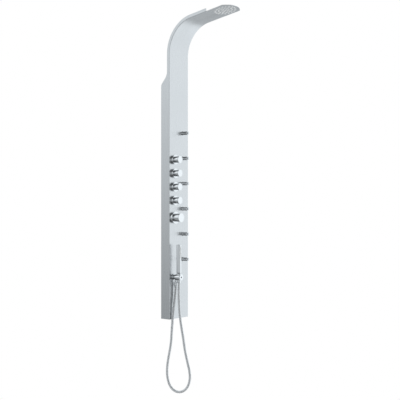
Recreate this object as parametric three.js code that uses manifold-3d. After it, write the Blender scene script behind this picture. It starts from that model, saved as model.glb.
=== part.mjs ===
// Wall-hung rainfall shower column of folded stainless steel. The sheet runs up the wall, bends forward
// overhead and ends in a rain head with a rounded end. Five controls, six swivelling body jets and a stick
// hand shower on a hose are fitted to its face. Millimetres; X to the right as one faces it, Y towards the
// wall, Z up. Heights below are measured from the column's lower end; "out" is the distance in front of
// its face, "behind" the distance behind the face's outer surface. The origin is the upper wall bracket's
// back.
import * as THREE from 'three';
import { mergeVertices, mergeGeometries } from 'three/addons/utils/BufferGeometryUtils.js';
import Module from 'manifold-3d';

const wasm = await Module();
wasm.setup();

// ---- driving dimensions -------------------------------------------------------------------------
const GAP = 0.3; // between pieces that touch
const PANEL_WIDTH = 140;
const PANEL_DEPTH = 55; // wall to face, on the lower column
const SHEET = 1.5;
const FOLD_RADIUS = 2;
const NECK_DEPTH = 16; // depth of the side flanges above the shoulder
const SHOULDER_LOW = 1150;
const SHOULDER_HIGH = 1222;
const SHOULDER_EASE_LOW = 22; // how far each end of the shoulder's curve runs straight
const SHOULDER_EASE_HIGH = 37;
const BEND_START = 1306; // where the face leaves the vertical
const BEND_RADIUS = 160;
const BEND_STEPS = 16;
const HEAD_RISE = THREE.MathUtils.degToRad(8.8);
const NECK_REACH = 161; // straight run from the bend's end to the centre of the rain head
const FLANGE_STOP = 60; // the side flanges end this far short of the rain head's centre
const HEAD_SHOULDER = 33; // past the rain head's centre, where its straight sides end
const HEAD_END = 62; // past the centre, the furthest point of the shallow arc that ends the head
const HEAD_CORNER = 5; // how far each corner of the end is eased
const HEAD_STEPS = 24;
const PLATE_INSET = 0.05; // keeps the head plate's two faces off the planes of the sheet it joins

const COVER_THICKNESS = 1;
const COVER_BEHIND = 14.4; // neck cover's inner face
const COVER_LOW = 1240;
const COVER_STOP = 96; // short of the rain head's centre

const NOZZLE_RINGS = 3;
const NOZZLE_RING_STEP = 16;
const NOZZLES_IN_FIRST_RING = 6;
const NOZZLE_HOLE_RADIUS = 5.2;
const NOZZLE_ROOT_RADIUS = 4.8;
const NOZZLE_TIP_RADIUS = 2.8;
const NOZZLE_OUT = 3.2;
const NOZZLE_SIDES = 8;
const MAT_THICKNESS = 1.6;
const MAT_MARGIN = 6; // mat beyond the outer ring of nozzles
const LID_WALL = 1.2;
const LID_RIM = 3;
const LID_WATER_GAP = 1.4;
const HEAD_ELBOW_RADIUS = 11;
const HEAD_ELBOW_HEIGHT = 11.5;
const HEAD_INLET_RADIUS = 4;

const CONTROL_X = -PANEL_WIDTH / 4;
const JET_X = PANEL_WIDTH / 4;
const VALVE_COUNT = 4;
const VALVE_TOP = 787; // height of the uppermost valve
const VALVE_SPACING = 67;
const THERMOSTAT_DROP = 85; // below the lowest valve
const JET_COUNT = 6;
const JET_TOP = 922;
const JET_SPACING = 126;

// Sizes of the four valve controls and of the larger thermostatic one.
const VALVE = { knob: 17.5, rose: 24, roseOut: 12, out: 41, spindle: 4, cartridge: 12, socket: 16 };
const THERMOSTAT = { knob: 22, rose: 30, roseOut: 13, out: 48.5, spindle: 5, cartridge: 15, socket: 19.5 };
const SPINDLE_IN_KNOB = 12;
const SPINDLE_CLEARANCE = 2; // radial, through the face
const CARTRIDGE_LENGTH = 22;

const MANIFOLD_WIDTH = 52;
const MANIFOLD_BACK = 13; // out from the wall
const MANIFOLD_FRONT = 31;
const MANIFOLD_END = 34; // above the top valve and below the thermostat
const INLET_RADIUS = 8;
const INLET_LENGTH = 28;
const INLET_SPREAD = 34;

const JET_TAIL_RADIUS = 7;
const JET_TAIL_LENGTH = 12;
const JET_FLANGE_RADIUS = 11;
const JET_FLANGE_OUT = 2.6;
const JET_BODY_RADIUS = 9.4;
const JET_BODY_OUT = 29.5;
const JET_BALL_RADIUS = 7.3;
const JET_BALL_OUT = 26; // centre of the swivelling ball
const JET_PASSAGE = 3.5;
const JET_PIPE_RADIUS = 8;

const PIPE_RADIUS = 4.5;
const RISER_BEHIND = 9.3;

const HOLDER_X = -36;
const HOLDER_HEIGHT = 208;
const HOLDER_ROOT_RADIUS = 13;
const HOLDER_ROOT_OUT = 17;
const HOLDER_HEAD_RADIUS = 16;
const HOLDER_HEAD_OUT = 46;
const CRADLE_OUT = 32.5; // axis of the hand shower
const CRADLE_TAPER = 1.6; // how much the cradle's bore narrows downwards
const CAP_THICKNESS = 2.2;
const CAP_RADIUS = 14;
const CAP_SCREW_RADIUS = 3.4;
const OUTLET_OUT = 12; // axis of the hose outlet
const OUTLET_RADIUS = 6;
const OUTLET_DROP = 25; // outlet's lower end below the holder's axis
const HOSE_RADIUS = 6.5;
const HOSE_NUT_RADIUS = 9.2;
const HOSE_NUT_LENGTH = 26;
const CONE_NUT_TOP = 11.2;
const CONE_NUT_LOW = 9.4;
const CONE_NUT_LENGTH = 46;
const STICK_RADIUS = 12;
const STICK_LENGTH = 142;
const STICK_SPIGOT_RADIUS = 6;
const STICK_SPIGOT_LENGTH = 16;
const SPRAY_LENGTH = 58;
const SPRAY_WIDTH = 11;
const SPRAY_DEPTH = 3;
const SPRAY_FROM_TOP = 8;

const BRACKET_HEIGHT = 1080; // upper wall bracket, the origin
const LOWER_BRACKET_HEIGHT = 110;
const BRACKET_WIDTH = 110;
const BRACKET_HALF_HEIGHT = 20;
const BRACKET_HOLE_RADIUS = 3.2;
const BRACKET_HOLE_X = 36;
const BRACKET_SHEET = 2;
const CAP_TRAY_HEIGHT = 12;
const ROUND = 16; // sides of a round piece

// The hose hangs free from the outlet under the holder, swings out below the column and comes back up to
// the hand shower. Chosen points: across from the holder, out from the face, and height from the holder.
const HOSE_ROUTE = [
  [0, 12, -51.5], [0, 12, -62], [-1.6, 11.3, -82], [-5, 10.4, -106], [-10, 10, -138],
  [-14.5, 9, -172], [-19, 8, -208], [-22, 6.5, -250], [-24, 3.5, -308], [-25.3, -2, -350],
  [-26, -11, -390], [-26, -19, -430], [-25, -23, -466], [-22.8, -21.5, -498], [-19.5, -11, -532],
  [-14.5, 10, -555], [-8, 40, -562], [-1.5, 69, -551], [4, 89, -526], [7.5, 97, -493],
  [9, 93, -454], [9, 82, -418], [8, 66, -360], [6, 53.5, -288], [3.5, 43, -230],
  [1.5, 36, -174], [0.4, 33, -124], [0, 32.5, -78],
];
const HOSE_STEPS = 72;
const HOSE_SIDES = 8;

// ---- finishes -----------------------------------------------------------------------------------
const finish = (color, roughness, metalness) => ({ color, roughness, metalness });
const BRUSHED = finish(0xc9cdd0, 0.34, 1);
const CHROME = finish(0xe6e9eb, 0.06, 1);
const BRASS = finish(0xb99a55, 0.35, 1);
const GALVANISED = finish(0xa9adb0, 0.5, 1);
const SILICONE = finish(0xe8ecee, 0.6, 0);
const PLASTIC = finish(0x8d9296, 0.5, 0);

// ---- places worked out from the sizes -----------------------------------------------------------
const FACE_Y = -PANEL_DEPTH;
const BEND_CENTRE_Y = FACE_Y - BEND_RADIUS;
const BEND_ANGLE = Math.PI / 2 - HEAD_RISE;
const bendPoint = (radius, angle) => new THREE.Vector2(
  BEND_CENTRE_Y + radius * Math.cos(angle), BEND_START + radius * Math.sin(angle));
const ALONG = new THREE.Vector2(-Math.cos(HEAD_RISE), Math.sin(HEAD_RISE)); // along the head, outwards
const BEHIND = new THREE.Vector2(Math.sin(HEAD_RISE), Math.cos(HEAD_RISE)); // up from the head's face
// A point in the side view on the straight run, `short` of the rain head's centre and `behind` the face.
const headPoint = (short, behind) => bendPoint(BEND_RADIUS, BEND_ANGLE)
  .addScaledVector(ALONG, NECK_REACH - short).addScaledVector(BEHIND, behind);
const valveHeight = (i) => VALVE_TOP - i * VALVE_SPACING;
const THERMOSTAT_HEIGHT = valveHeight(VALVE_COUNT - 1) - THERMOSTAT_DROP;
const CONTROLS = [];
for (let i = 0; i < VALVE_COUNT; i += 1) {
  CONTROLS.push({ label: `valve_${i + 1}`, size: VALVE, height: valveHeight(i) });
}
CONTROLS.push({ label: 'thermostat', size: THERMOSTAT, height: THERMOSTAT_HEIGHT });
const jetHeight = (i) => JET_TOP - i * JET_SPACING;
const NOZZLES = [[0, 0]];
for (let ring = 1; ring <= NOZZLE_RINGS; ring += 1) {
  const count = ring * NOZZLES_IN_FIRST_RING;
  for (let k = 0; k < count; k += 1) {
    const angle = (2 * Math.PI * k) / count;
    NOZZLES.push([ring * NOZZLE_RING_STEP * Math.cos(angle), ring * NOZZLE_RING_STEP * Math.sin(angle)]);
  }
}
const MAT_RADIUS = NOZZLE_RINGS * NOZZLE_RING_STEP + MAT_MARGIN;
const MAT_BACK = SHEET + GAP + MAT_THICKNESS;
const LID_INNER = MAT_BACK + LID_WATER_GAP;
const LID_TOP = LID_INNER + LID_WALL;

// ---- geometry helpers ---------------------------------------------------------------------------
// Shapes drawn in the side view (Y, Z) are extruded along X, centred on x = 0.
const SIDE_BASIS = new THREE.Matrix4().makeBasis(
  new THREE.Vector3(0, 1, 0), new THREE.Vector3(0, 0, 1), new THREE.Vector3(1, 0, 0));

function sideExtrude(points, width, edgeRadius = 0) {
  const geometry = new THREE.ExtrudeGeometry(new THREE.Shape(points), {
    depth: width - 2 * edgeRadius,
    bevelEnabled: edgeRadius > 0,
    bevelThickness: edgeRadius,
    bevelSize: edgeRadius,
    bevelOffset: -edgeRadius,
    bevelSegments: 3,
  });
  geometry.translate(0, 0, edgeRadius - width / 2);
  return geometry.applyMatrix4(SIDE_BASIS);
}

// A turned piece whose axis points out of the face: profile points are [radius, out], anticlockwise.
function turnedOut(profile, x, height, sides = ROUND) {
  const points = profile.map(([radius, out]) => new THREE.Vector2(radius, out));
  return new THREE.LatheGeometry(points, sides).rotateX(Math.PI).translate(x, FACE_Y, height);
}

// A turned piece with an upright axis: profile points are [radius, height], anticlockwise.
function turnedUp(profile, x, y, sides = ROUND) {
  const points = profile.map(([radius, height]) => new THREE.Vector2(radius, height));
  return new THREE.LatheGeometry(points, sides).rotateX(Math.PI / 2).translate(x, y, 0);
}

// A turned piece on the rain head: profile points are [radius, behind the face], anticlockwise.
function turnedOnHead(profile, sides) {
  const points = profile.map(([radius, behind]) => new THREE.Vector2(radius, behind));
  return placeOnHead(new THREE.LatheGeometry(points, sides).rotateX(Math.PI / 2));
}

// Moves a shape drawn at the origin, with Z behind the face and Y back along the neck, to the rain head.
function placeOnHead(geometry) {
  const centre = headPoint(0, 0);
  return geometry.rotateX(-HEAD_RISE).translate(0, centre.x, centre.y);
}

const rod = (radius, low, high) => [[0, low], [radius, low], [radius, high], [0, high]];
const ring = (inner, outer, low, high) => [
  [inner, low], [outer, low], [outer, high], [inner, high], [inner, low],
];

function block(x0, x1, y0, y1, z0, z1) {
  return new THREE.BoxGeometry(x1 - x0, y1 - y0, z1 - z0)
    .translate((x0 + x1) / 2, (y0 + y1) / 2, (z0 + z1) / 2);
}

function tube(points, radius, steps, sides) {
  const path = new THREE.CatmullRomCurve3(points, false, 'centripetal');
  const section = new THREE.Shape();
  section.absarc(0, 0, radius, 0, 2 * Math.PI);
  return new THREE.ExtrudeGeometry(new THREE.Shape(section.getSpacedPoints(sides).slice(0, sides)), {
    steps, extrudePath: path, bevelEnabled: false,
  });
}

function solid(geometry) {
  const bare = new THREE.BufferGeometry();
  bare.setAttribute('position', geometry.getAttribute('position').clone());
  if (geometry.index) {
    bare.setIndex(geometry.index.clone());
  }
  const merged = mergeVertices(bare, 1e-4);
  const index = Array.from(merged.index.array);
  const triangles = [];
  for (let i = 0; i < index.length; i += 3) {
    const [a, b, c] = index.slice(i, i + 3);
    if (a !== b && b !== c && c !== a) {
      triangles.push(a, b, c);
    }
  }
  const mesh = new wasm.Mesh({
    numProp: 3,
    vertProperties: new Float32Array(merged.getAttribute('position').array),
    triVerts: new Uint32Array(triangles),
  });
  return new wasm.Manifold(mesh);
}

function toGeometry(manifold) {
  const mesh = manifold.getMesh();
  const geometry = new THREE.BufferGeometry();
  geometry.setAttribute('position', new THREE.BufferAttribute(new Float32Array(mesh.vertProperties), 3));
  geometry.setIndex(Array.from(mesh.triVerts));
  geometry.computeVertexNormals();
  return geometry;
}

const joined = (first, ...others) => others.reduce((sum, g) => sum.add(solid(g)), first);
const cut = (first, ...others) => others.reduce((rest, g) => rest.subtract(solid(g)), first);

// ---- sheet metal --------------------------------------------------------------------------------
// Side view of the column between its face, `behind` the outer surface, and its back edge, with every
// edge but the face moved out by `growth`.
function columnOutline(behind, growth) {
  const back = NECK_DEPTH + growth;
  const points = [
    new THREE.Vector2(growth, -growth),
    new THREE.Vector2(FACE_Y + behind, -growth),
  ];
  for (let i = 0; i <= BEND_STEPS; i += 1) {
    points.push(bendPoint(BEND_RADIUS + behind, (BEND_ANGLE * i) / BEND_STEPS));
  }
  points.push(headPoint(FLANGE_STOP - growth, behind));
  points.push(headPoint(FLANGE_STOP - growth, back));
  for (let i = BEND_STEPS; i >= 0; i -= 1) {
    points.push(bendPoint(BEND_RADIUS + back, (BEND_ANGLE * i) / BEND_STEPS));
  }
  const shoulder = new THREE.CubicBezierCurve(
    new THREE.Vector2(FACE_Y + back, SHOULDER_HIGH),
    new THREE.Vector2(FACE_Y + back, SHOULDER_HIGH - SHOULDER_EASE_HIGH),
    new THREE.Vector2(growth, SHOULDER_LOW + SHOULDER_EASE_LOW),
    new THREE.Vector2(growth, SHOULDER_LOW),
  );
  points.push(...shoulder.getPoints(8));
  return points;
}

function columnShell() {
  const growth = 10;
  const rounded = solid(sideExtrude(columnOutline(0, growth), PANEL_WIDTH, FOLD_RADIUS));
  const outside = rounded.intersect(solid(sideExtrude(columnOutline(-growth, 0), PANEL_WIDTH + growth)));
  const inside = sideExtrude(columnOutline(SHEET, growth), PANEL_WIDTH - 2 * SHEET, FOLD_RADIUS - SHEET);
  const half = PANEL_WIDTH / 2;
  const shoulder = FLANGE_STOP + 0.5;
  const tongue = FLANGE_STOP + 5; // the head plate's tongue inside the folded neck
  const endRadius = (half ** 2 + (HEAD_END - HEAD_SHOULDER) ** 2) / (2 * (HEAD_END - HEAD_SHOULDER));
  const spread = Math.asin(half / endRadius) - HEAD_CORNER / endRadius;
  const arcSide = endRadius * Math.sin(spread);
  const arcReach = endRadius * (Math.cos(spread) - 1) + HEAD_END;
  const outline = new THREE.Shape();
  outline.moveTo(-half + 2 * FOLD_RADIUS, tongue);
  outline.lineTo(-half + 2 * FOLD_RADIUS, shoulder);
  outline.lineTo(-half, shoulder);
  outline.lineTo(-half, HEAD_CORNER - HEAD_SHOULDER);
  outline.quadraticCurveTo(-half, -HEAD_SHOULDER, -arcSide, -arcReach);
  outline.absarc(0, endRadius - HEAD_END, endRadius, 1.5 * Math.PI - spread, 1.5 * Math.PI + spread);
  outline.quadraticCurveTo(half, -HEAD_SHOULDER, half, HEAD_CORNER - HEAD_SHOULDER);
  outline.lineTo(half, shoulder);
  outline.lineTo(half - 2 * FOLD_RADIUS, shoulder);
  outline.lineTo(half - 2 * FOLD_RADIUS, tongue);
  const plate = new THREE.ExtrudeGeometry(outline, {
    depth: SHEET - 2 * PLATE_INSET, bevelEnabled: false, curveSegments: HEAD_STEPS,
  }).translate(0, 0, PLATE_INSET);
  const sheet = joined(cut(outside, inside), placeOnHead(plate));
  const holes = CONTROLS.map(({ size, height }) => turnedOut(
    rod(size.spindle + SPINDLE_CLEARANCE, -growth, growth), CONTROL_X, height));
  for (let i = 0; i < JET_COUNT; i += 1) {
    holes.push(turnedOut(rod(JET_TAIL_RADIUS + GAP, -growth, growth), JET_X, jetHeight(i), 12));
  }
  holes.push(turnedOut(rod(PIPE_RADIUS + 1, -growth, growth), HOLDER_X, HOLDER_HEIGHT));
  const nozzleHole = new THREE.CylinderGeometry(NOZZLE_HOLE_RADIUS, NOZZLE_HOLE_RADIUS, growth, NOZZLE_SIDES)
    .rotateX(Math.PI / 2);
  holes.push(placeOnHead(mergeGeometries(NOZZLES.map(([x, y]) => nozzleHole.clone().translate(x, y, 0)))));
  return toGeometry(cut(sheet, ...holes));
}

function neckCover() {
  const arc = (behind, i) => bendPoint(BEND_RADIUS + behind, (BEND_ANGLE * i) / BEND_STEPS);
  const outer = COVER_BEHIND + COVER_THICKNESS;
  const points = [
    new THREE.Vector2(FACE_Y + outer, COVER_LOW),
    new THREE.Vector2(FACE_Y + COVER_BEHIND, COVER_LOW),
  ];
  for (let i = 0; i <= BEND_STEPS; i += 1) {
    points.push(arc(COVER_BEHIND, i));
  }
  points.push(headPoint(COVER_STOP, COVER_BEHIND), headPoint(COVER_STOP, outer));
  for (let i = BEND_STEPS; i >= 0; i -= 1) {
    points.push(arc(outer, i));
  }
  return sideExtrude(points, PANEL_WIDTH - 2 * SHEET - 2 * GAP);
}

// An upright block inside the column with its two front corners cut to clear the folds.
function trayBlock(inset, low, high) {
  const half = PANEL_WIDTH / 2 - SHEET - GAP - inset;
  const front = FACE_Y + SHEET + GAP + inset;
  const back = -GAP - inset;
  const corner = FOLD_RADIUS - SHEET;
  const outline = new THREE.Shape([
    new THREE.Vector2(-half, back), new THREE.Vector2(-half, front + corner),
    new THREE.Vector2(-half + corner, front), new THREE.Vector2(half - corner, front),
    new THREE.Vector2(half, front + corner), new THREE.Vector2(half, back),
  ]);
  const geometry = new THREE.ExtrudeGeometry(outline, { depth: high - low, bevelEnabled: false });
  return geometry.translate(0, 0, low);
}

function bottomCap() {
  const tray = solid(trayBlock(0, 0, CAP_TRAY_HEIGHT));
  return toGeometry(cut(tray, trayBlock(SHEET, SHEET, CAP_TRAY_HEIGHT + 1)));
}

// ---- wall brackets: a hooked plate on the wall, and a bar in the column that hangs on the hook ----
const HOOK_LOW = 10; // above the bracket's centre
const HOOK_HIGH = 22;
const HOOK_SLOT = 5;

function wallBracket(height) {
  const lip = BRACKET_SHEET + HOOK_SLOT;
  const outline = [
    [0, -BRACKET_HALF_HEIGHT], [0, BRACKET_HALF_HEIGHT], [-BRACKET_SHEET, BRACKET_HALF_HEIGHT],
    [-BRACKET_SHEET, HOOK_LOW + BRACKET_SHEET], [-lip, HOOK_LOW + BRACKET_SHEET], [-lip, HOOK_HIGH],
    [-lip - BRACKET_SHEET, HOOK_HIGH], [-lip - BRACKET_SHEET, HOOK_LOW], [-BRACKET_SHEET, HOOK_LOW],
    [-BRACKET_SHEET, -BRACKET_HALF_HEIGHT],
  ].map(([y, z]) => new THREE.Vector2(y, height + z));
  const hole = (x) => new THREE.CylinderGeometry(BRACKET_HOLE_RADIUS, BRACKET_HOLE_RADIUS, 20, 10)
    .translate(x, 0, height);
  const plate = solid(sideExtrude(outline, BRACKET_WIDTH));
  return toGeometry(cut(plate, hole(-BRACKET_HOLE_X), hole(BRACKET_HOLE_X)));
}

function hangerBar(height) {
  const back = BRACKET_SHEET + 1.5;
  const web = BRACKET_SHEET + HOOK_SLOT + BRACKET_SHEET + 3;
  const top = HOOK_HIGH + 6;
  const outline = [
    [-back, HOOK_LOW + BRACKET_SHEET + GAP], [-back, top], [-web - BRACKET_SHEET, top],
    [-web - BRACKET_SHEET, -BRACKET_HALF_HEIGHT], [-web, -BRACKET_HALF_HEIGHT], [-web, top - BRACKET_SHEET],
    [-back - BRACKET_SHEET, top - BRACKET_SHEET], [-back - BRACKET_SHEET, HOOK_LOW + BRACKET_SHEET + GAP],
  ].map(([y, z]) => new THREE.Vector2(y, height + z));
  return sideExtrude(outline, PANEL_WIDTH - 2 * SHEET - 2 * GAP);
}

// ---- rain head ----------------------------------------------------------------------------------
function nozzleMat() {
  const front = SHEET + GAP;
  const sheet = solid(turnedOnHead(rod(MAT_RADIUS, front, MAT_BACK), HEAD_STEPS));
  const length = front + MAT_THICKNESS / 2 + NOZZLE_OUT;
  const nub = new THREE.CylinderGeometry(NOZZLE_ROOT_RADIUS, NOZZLE_TIP_RADIUS, length, NOZZLE_SIDES)
    .rotateX(Math.PI / 2).translate(0, 0, length / 2 - NOZZLE_OUT);
  const nubs = mergeGeometries(NOZZLES.map(([x, y]) => nub.clone().translate(x, y, 0)));
  return toGeometry(joined(sheet, placeOnHead(nubs)));
}

function headLid() {
  const inner = MAT_RADIUS + GAP;
  const wall = inner + LID_WALL;
  const rim = SHEET + GAP;
  return turnedOnHead([
    [inner, rim], [wall + LID_RIM, rim], [wall + LID_RIM, rim + LID_WALL], [wall, rim + LID_WALL],
    [wall, LID_TOP], [HEAD_INLET_RADIUS, LID_TOP], [HEAD_INLET_RADIUS, LID_INNER], [inner, LID_INNER],
    [inner, rim],
  ], HEAD_STEPS);
}

const HEAD_ELBOW_LOW = LID_TOP + GAP;
const RISER_END_BEHIND = HEAD_ELBOW_LOW + HEAD_ELBOW_HEIGHT / 2;

function headElbow() {
  const top = HEAD_ELBOW_LOW + HEAD_ELBOW_HEIGHT;
  const body = solid(turnedOnHead(rod(HEAD_ELBOW_RADIUS, HEAD_ELBOW_LOW, top), ROUND));
  const down = turnedOnHead(rod(HEAD_INLET_RADIUS, HEAD_ELBOW_LOW - 1, RISER_END_BEHIND), 12);
  const side = new THREE.CylinderGeometry(PIPE_RADIUS + GAP, PIPE_RADIUS + GAP, 2 * HEAD_ELBOW_RADIUS, 12)
    .translate(0, HEAD_ELBOW_RADIUS, RISER_END_BEHIND);
  return toGeometry(cut(body, down, placeOnHead(side)));
}

// ---- pipework -----------------------------------------------------------------------------------
const MANIFOLD_Y = -(MANIFOLD_BACK + MANIFOLD_FRONT) / 2;
const MANIFOLD_TOP = VALVE_TOP + MANIFOLD_END;
const MANIFOLD_LOW = THERMOSTAT_HEIGHT - MANIFOLD_END;

function riserPipe() {
  const start = new THREE.Vector3(CONTROL_X, MANIFOLD_Y, MANIFOLD_TOP + GAP);
  const points = [start, new THREE.Vector3(CONTROL_X, MANIFOLD_Y, MANIFOLD_TOP + 60)];
  const lowNeck = FACE_Y + RISER_BEHIND;
  points.push(new THREE.Vector3(CONTROL_X / 2, (MANIFOLD_Y + lowNeck) / 2, MANIFOLD_TOP + 160));
  for (const height of [MANIFOLD_TOP + 270, BEND_START - 40, BEND_START]) {
    points.push(new THREE.Vector3(0, lowNeck, height));
  }
  const bends = 6;
  for (let i = 1; i <= bends; i += 1) {
    const p = bendPoint(BEND_RADIUS + RISER_BEHIND, (BEND_ANGLE * i) / bends);
    points.push(new THREE.Vector3(0, p.x, p.y));
  }
  for (const [short, behind] of [
    [COVER_STOP, RISER_BEHIND], [FLANGE_STOP + 8, RISER_END_BEHIND], [FLANGE_STOP - 20, RISER_END_BEHIND],
    [HEAD_INLET_RADIUS + GAP, RISER_END_BEHIND],
  ]) {
    const p = headPoint(short, behind);
    points.push(new THREE.Vector3(0, p.x, p.y));
  }
  return tube(points, PIPE_RADIUS, 40, HOSE_SIDES);
}

const JET_TAIL_Y = FACE_Y + JET_TAIL_LENGTH; // inner end of the jets' tails
const JET_PIPE_Y = JET_TAIL_Y + GAP + JET_PIPE_RADIUS;

function jetPipe() {
  const end = 20;
  const low = jetHeight(JET_COUNT - 1) - end;
  const body = solid(turnedUp(rod(JET_PIPE_RADIUS, low, JET_TOP + end), JET_X, JET_PIPE_Y, 12));
  const ports = [];
  for (let i = 0; i < JET_COUNT; i += 1) {
    const port = rod(JET_PASSAGE, -JET_TAIL_LENGTH - GAP - JET_PIPE_RADIUS, 0);
    ports.push(turnedOut(port, JET_X, jetHeight(i), 8));
  }
  return toGeometry(cut(body, ...ports));
}

function jetFeed() {
  const y = JET_PIPE_Y;
  const height = (MANIFOLD_TOP + MANIFOLD_LOW) / 2;
  return tube([
    new THREE.Vector3(CONTROL_X + MANIFOLD_WIDTH / 2 + GAP, MANIFOLD_Y, height),
    new THREE.Vector3(0, MANIFOLD_Y, height),
    new THREE.Vector3(JET_X - JET_PIPE_RADIUS - 10, y, height),
    new THREE.Vector3(JET_X - JET_PIPE_RADIUS - GAP, y, height),
  ], PIPE_RADIUS, 10, HOSE_SIDES);
}

function handFeed() {
  const y = FACE_Y + SHEET + PIPE_RADIUS + 12;
  return tube([
    new THREE.Vector3(CONTROL_X, MANIFOLD_Y, MANIFOLD_LOW - GAP),
    new THREE.Vector3(CONTROL_X, MANIFOLD_Y, MANIFOLD_LOW - 60),
    new THREE.Vector3(HOLDER_X, y, HOLDER_HEIGHT + 60),
    new THREE.Vector3(HOLDER_X, y, HOLDER_HEIGHT + 18),
    new THREE.Vector3(HOLDER_X, FACE_Y + SHEET + 11, HOLDER_HEIGHT + 3),
    new THREE.Vector3(HOLDER_X, FACE_Y + SHEET, HOLDER_HEIGHT),
    new THREE.Vector3(HOLDER_X, FACE_Y, HOLDER_HEIGHT),
  ], PIPE_RADIUS, 26, HOSE_SIDES);
}

// ---- controls -----------------------------------------------------------------------------------
const CARTRIDGE_FRONT = -SHEET - GAP; // out from the face

function valveManifold() {
  let body = solid(block(
    CONTROL_X - MANIFOLD_WIDTH / 2, CONTROL_X + MANIFOLD_WIDTH / 2,
    -MANIFOLD_FRONT, -MANIFOLD_BACK, MANIFOLD_LOW, MANIFOLD_TOP));
  for (const { size, height } of CONTROLS) {
    const depth = PANEL_DEPTH - MANIFOLD_BACK - 1;
    body = joined(body, turnedOut(rod(size.socket, -depth, CARTRIDGE_FRONT), CONTROL_X, height));
    const floor = CARTRIDGE_FRONT - CARTRIDGE_LENGTH - GAP;
    body = cut(body, turnedOut(rod(size.cartridge + GAP, floor, 1), CONTROL_X, height));
  }
  return toGeometry(body);
}

const cartridge = ({ size, height }) => turnedOut(
  rod(size.cartridge, CARTRIDGE_FRONT - CARTRIDGE_LENGTH, CARTRIDGE_FRONT), CONTROL_X, height);

const knobBack = (size) => size.roseOut + 2 * GAP;

const spindle = ({ size, height }) => turnedOut(
  rod(size.spindle, CARTRIDGE_FRONT + GAP, knobBack(size) + SPINDLE_IN_KNOB), CONTROL_X, height, 10);

function rose({ size, height }) {
  const hole = size.spindle + SPINDLE_CLEARANCE;
  const edge = 0.8;
  return turnedOut([
    [hole, GAP], [size.rose, GAP], [size.rose, size.roseOut - edge], [size.rose - edge, size.roseOut],
    [hole, size.roseOut], [hole, GAP],
  ], CONTROL_X, height, 24);
}

function knob({ size, height }) {
  const back = knobBack(size);
  const bore = size.spindle + GAP;
  const floor = back + SPINDLE_IN_KNOB + GAP;
  const edge = 1;
  return turnedOut([
    [0, floor], [bore, floor], [bore, back], [size.knob - edge, back], [size.knob, back + edge],
    [size.knob, size.out - edge], [size.knob - edge, size.out], [0, size.out],
  ], CONTROL_X, height, 24);
}

const inlet = (side) => turnedUp(
  rod(INLET_RADIUS, MANIFOLD_LOW - GAP - INLET_LENGTH, MANIFOLD_LOW - GAP),
  CONTROL_X + (side * INLET_SPREAD) / 2, MANIFOLD_Y, 12);

// ---- body jets ----------------------------------------------------------------------------------
function jetHousing(height) {
  const seat = JET_BALL_OUT;
  return turnedOut([
    [JET_PASSAGE, -JET_TAIL_LENGTH], [JET_TAIL_RADIUS, -JET_TAIL_LENGTH], [JET_TAIL_RADIUS, GAP],
    [JET_FLANGE_RADIUS, GAP], [JET_FLANGE_RADIUS, JET_FLANGE_OUT], [JET_BODY_RADIUS, JET_FLANGE_OUT + 0.6],
    [JET_BODY_RADIUS, JET_BODY_OUT], [JET_BALL_RADIUS - 0.25, JET_BODY_OUT], [JET_BALL_RADIUS + 0.65, seat],
    [JET_BALL_RADIUS + 0.1, seat - 3], [JET_PASSAGE, seat - 8], [JET_PASSAGE, -JET_TAIL_LENGTH],
  ], JET_X, height, 12);
}

function jetNozzle(height) {
  const profile = [];
  const steps = 7;
  for (let i = 0; i <= steps; i += 1) {
    const angle = -Math.PI / 2 + (Math.PI * i) / steps;
    const radius = i === 0 || i === steps ? 0 : JET_BALL_RADIUS * Math.cos(angle);
    profile.push([radius, JET_BALL_OUT + JET_BALL_RADIUS * Math.sin(angle)]);
  }
  return turnedOut(profile, JET_X, height, 12);
}

// ---- hand shower --------------------------------------------------------------------------------
const CRADLE_Y = FACE_Y - CRADLE_OUT;
const HOLDER_TOP = HOLDER_HEIGHT + HOLDER_HEAD_RADIUS;
const CONE_NUT_HEAD = HOLDER_TOP + 2;
const CONE_NUT_FOOT = CONE_NUT_HEAD - CONE_NUT_LENGTH;
const OUTLET_Y = FACE_Y - OUTLET_OUT;
const OUTLET_LOW = HOLDER_HEIGHT - OUTLET_DROP;

function holderArm() {
  const root = solid(turnedOut(rod(HOLDER_ROOT_RADIUS, GAP, HOLDER_ROOT_OUT), HOLDER_X, HOLDER_HEIGHT));
  const barrel = rod(HOLDER_HEAD_RADIUS, HOLDER_ROOT_OUT - 0.5, HOLDER_HEAD_OUT);
  const head = turnedOut(barrel, HOLDER_X, HOLDER_HEIGHT);
  const outlet = turnedUp(rod(OUTLET_RADIUS, OUTLET_LOW, HOLDER_HEIGHT), HOLDER_X, OUTLET_Y, 12);
  const clearance = 0.5;
  const low = HOLDER_HEIGHT - HOLDER_HEAD_RADIUS - 1;
  const wide = CONE_NUT_TOP + clearance;
  const seat = turnedUp([
    [0, low], [wide - CRADLE_TAPER, low], [wide, HOLDER_TOP + 1], [0, HOLDER_TOP + 1],
  ], HOLDER_X, CRADLE_Y, 20);
  return toGeometry(cut(joined(root, head, outlet), seat));
}

const holderCap = () => turnedOut(
  ring(CAP_SCREW_RADIUS + GAP, CAP_RADIUS, HOLDER_HEAD_OUT + GAP, HOLDER_HEAD_OUT + GAP + CAP_THICKNESS),
  HOLDER_X, HOLDER_HEIGHT, 20);

const holderScrew = () => turnedOut(
  rod(CAP_SCREW_RADIUS, HOLDER_HEAD_OUT + GAP, HOLDER_HEAD_OUT + CAP_THICKNESS - 0.6),
  HOLDER_X, HOLDER_HEIGHT, 10);

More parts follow.
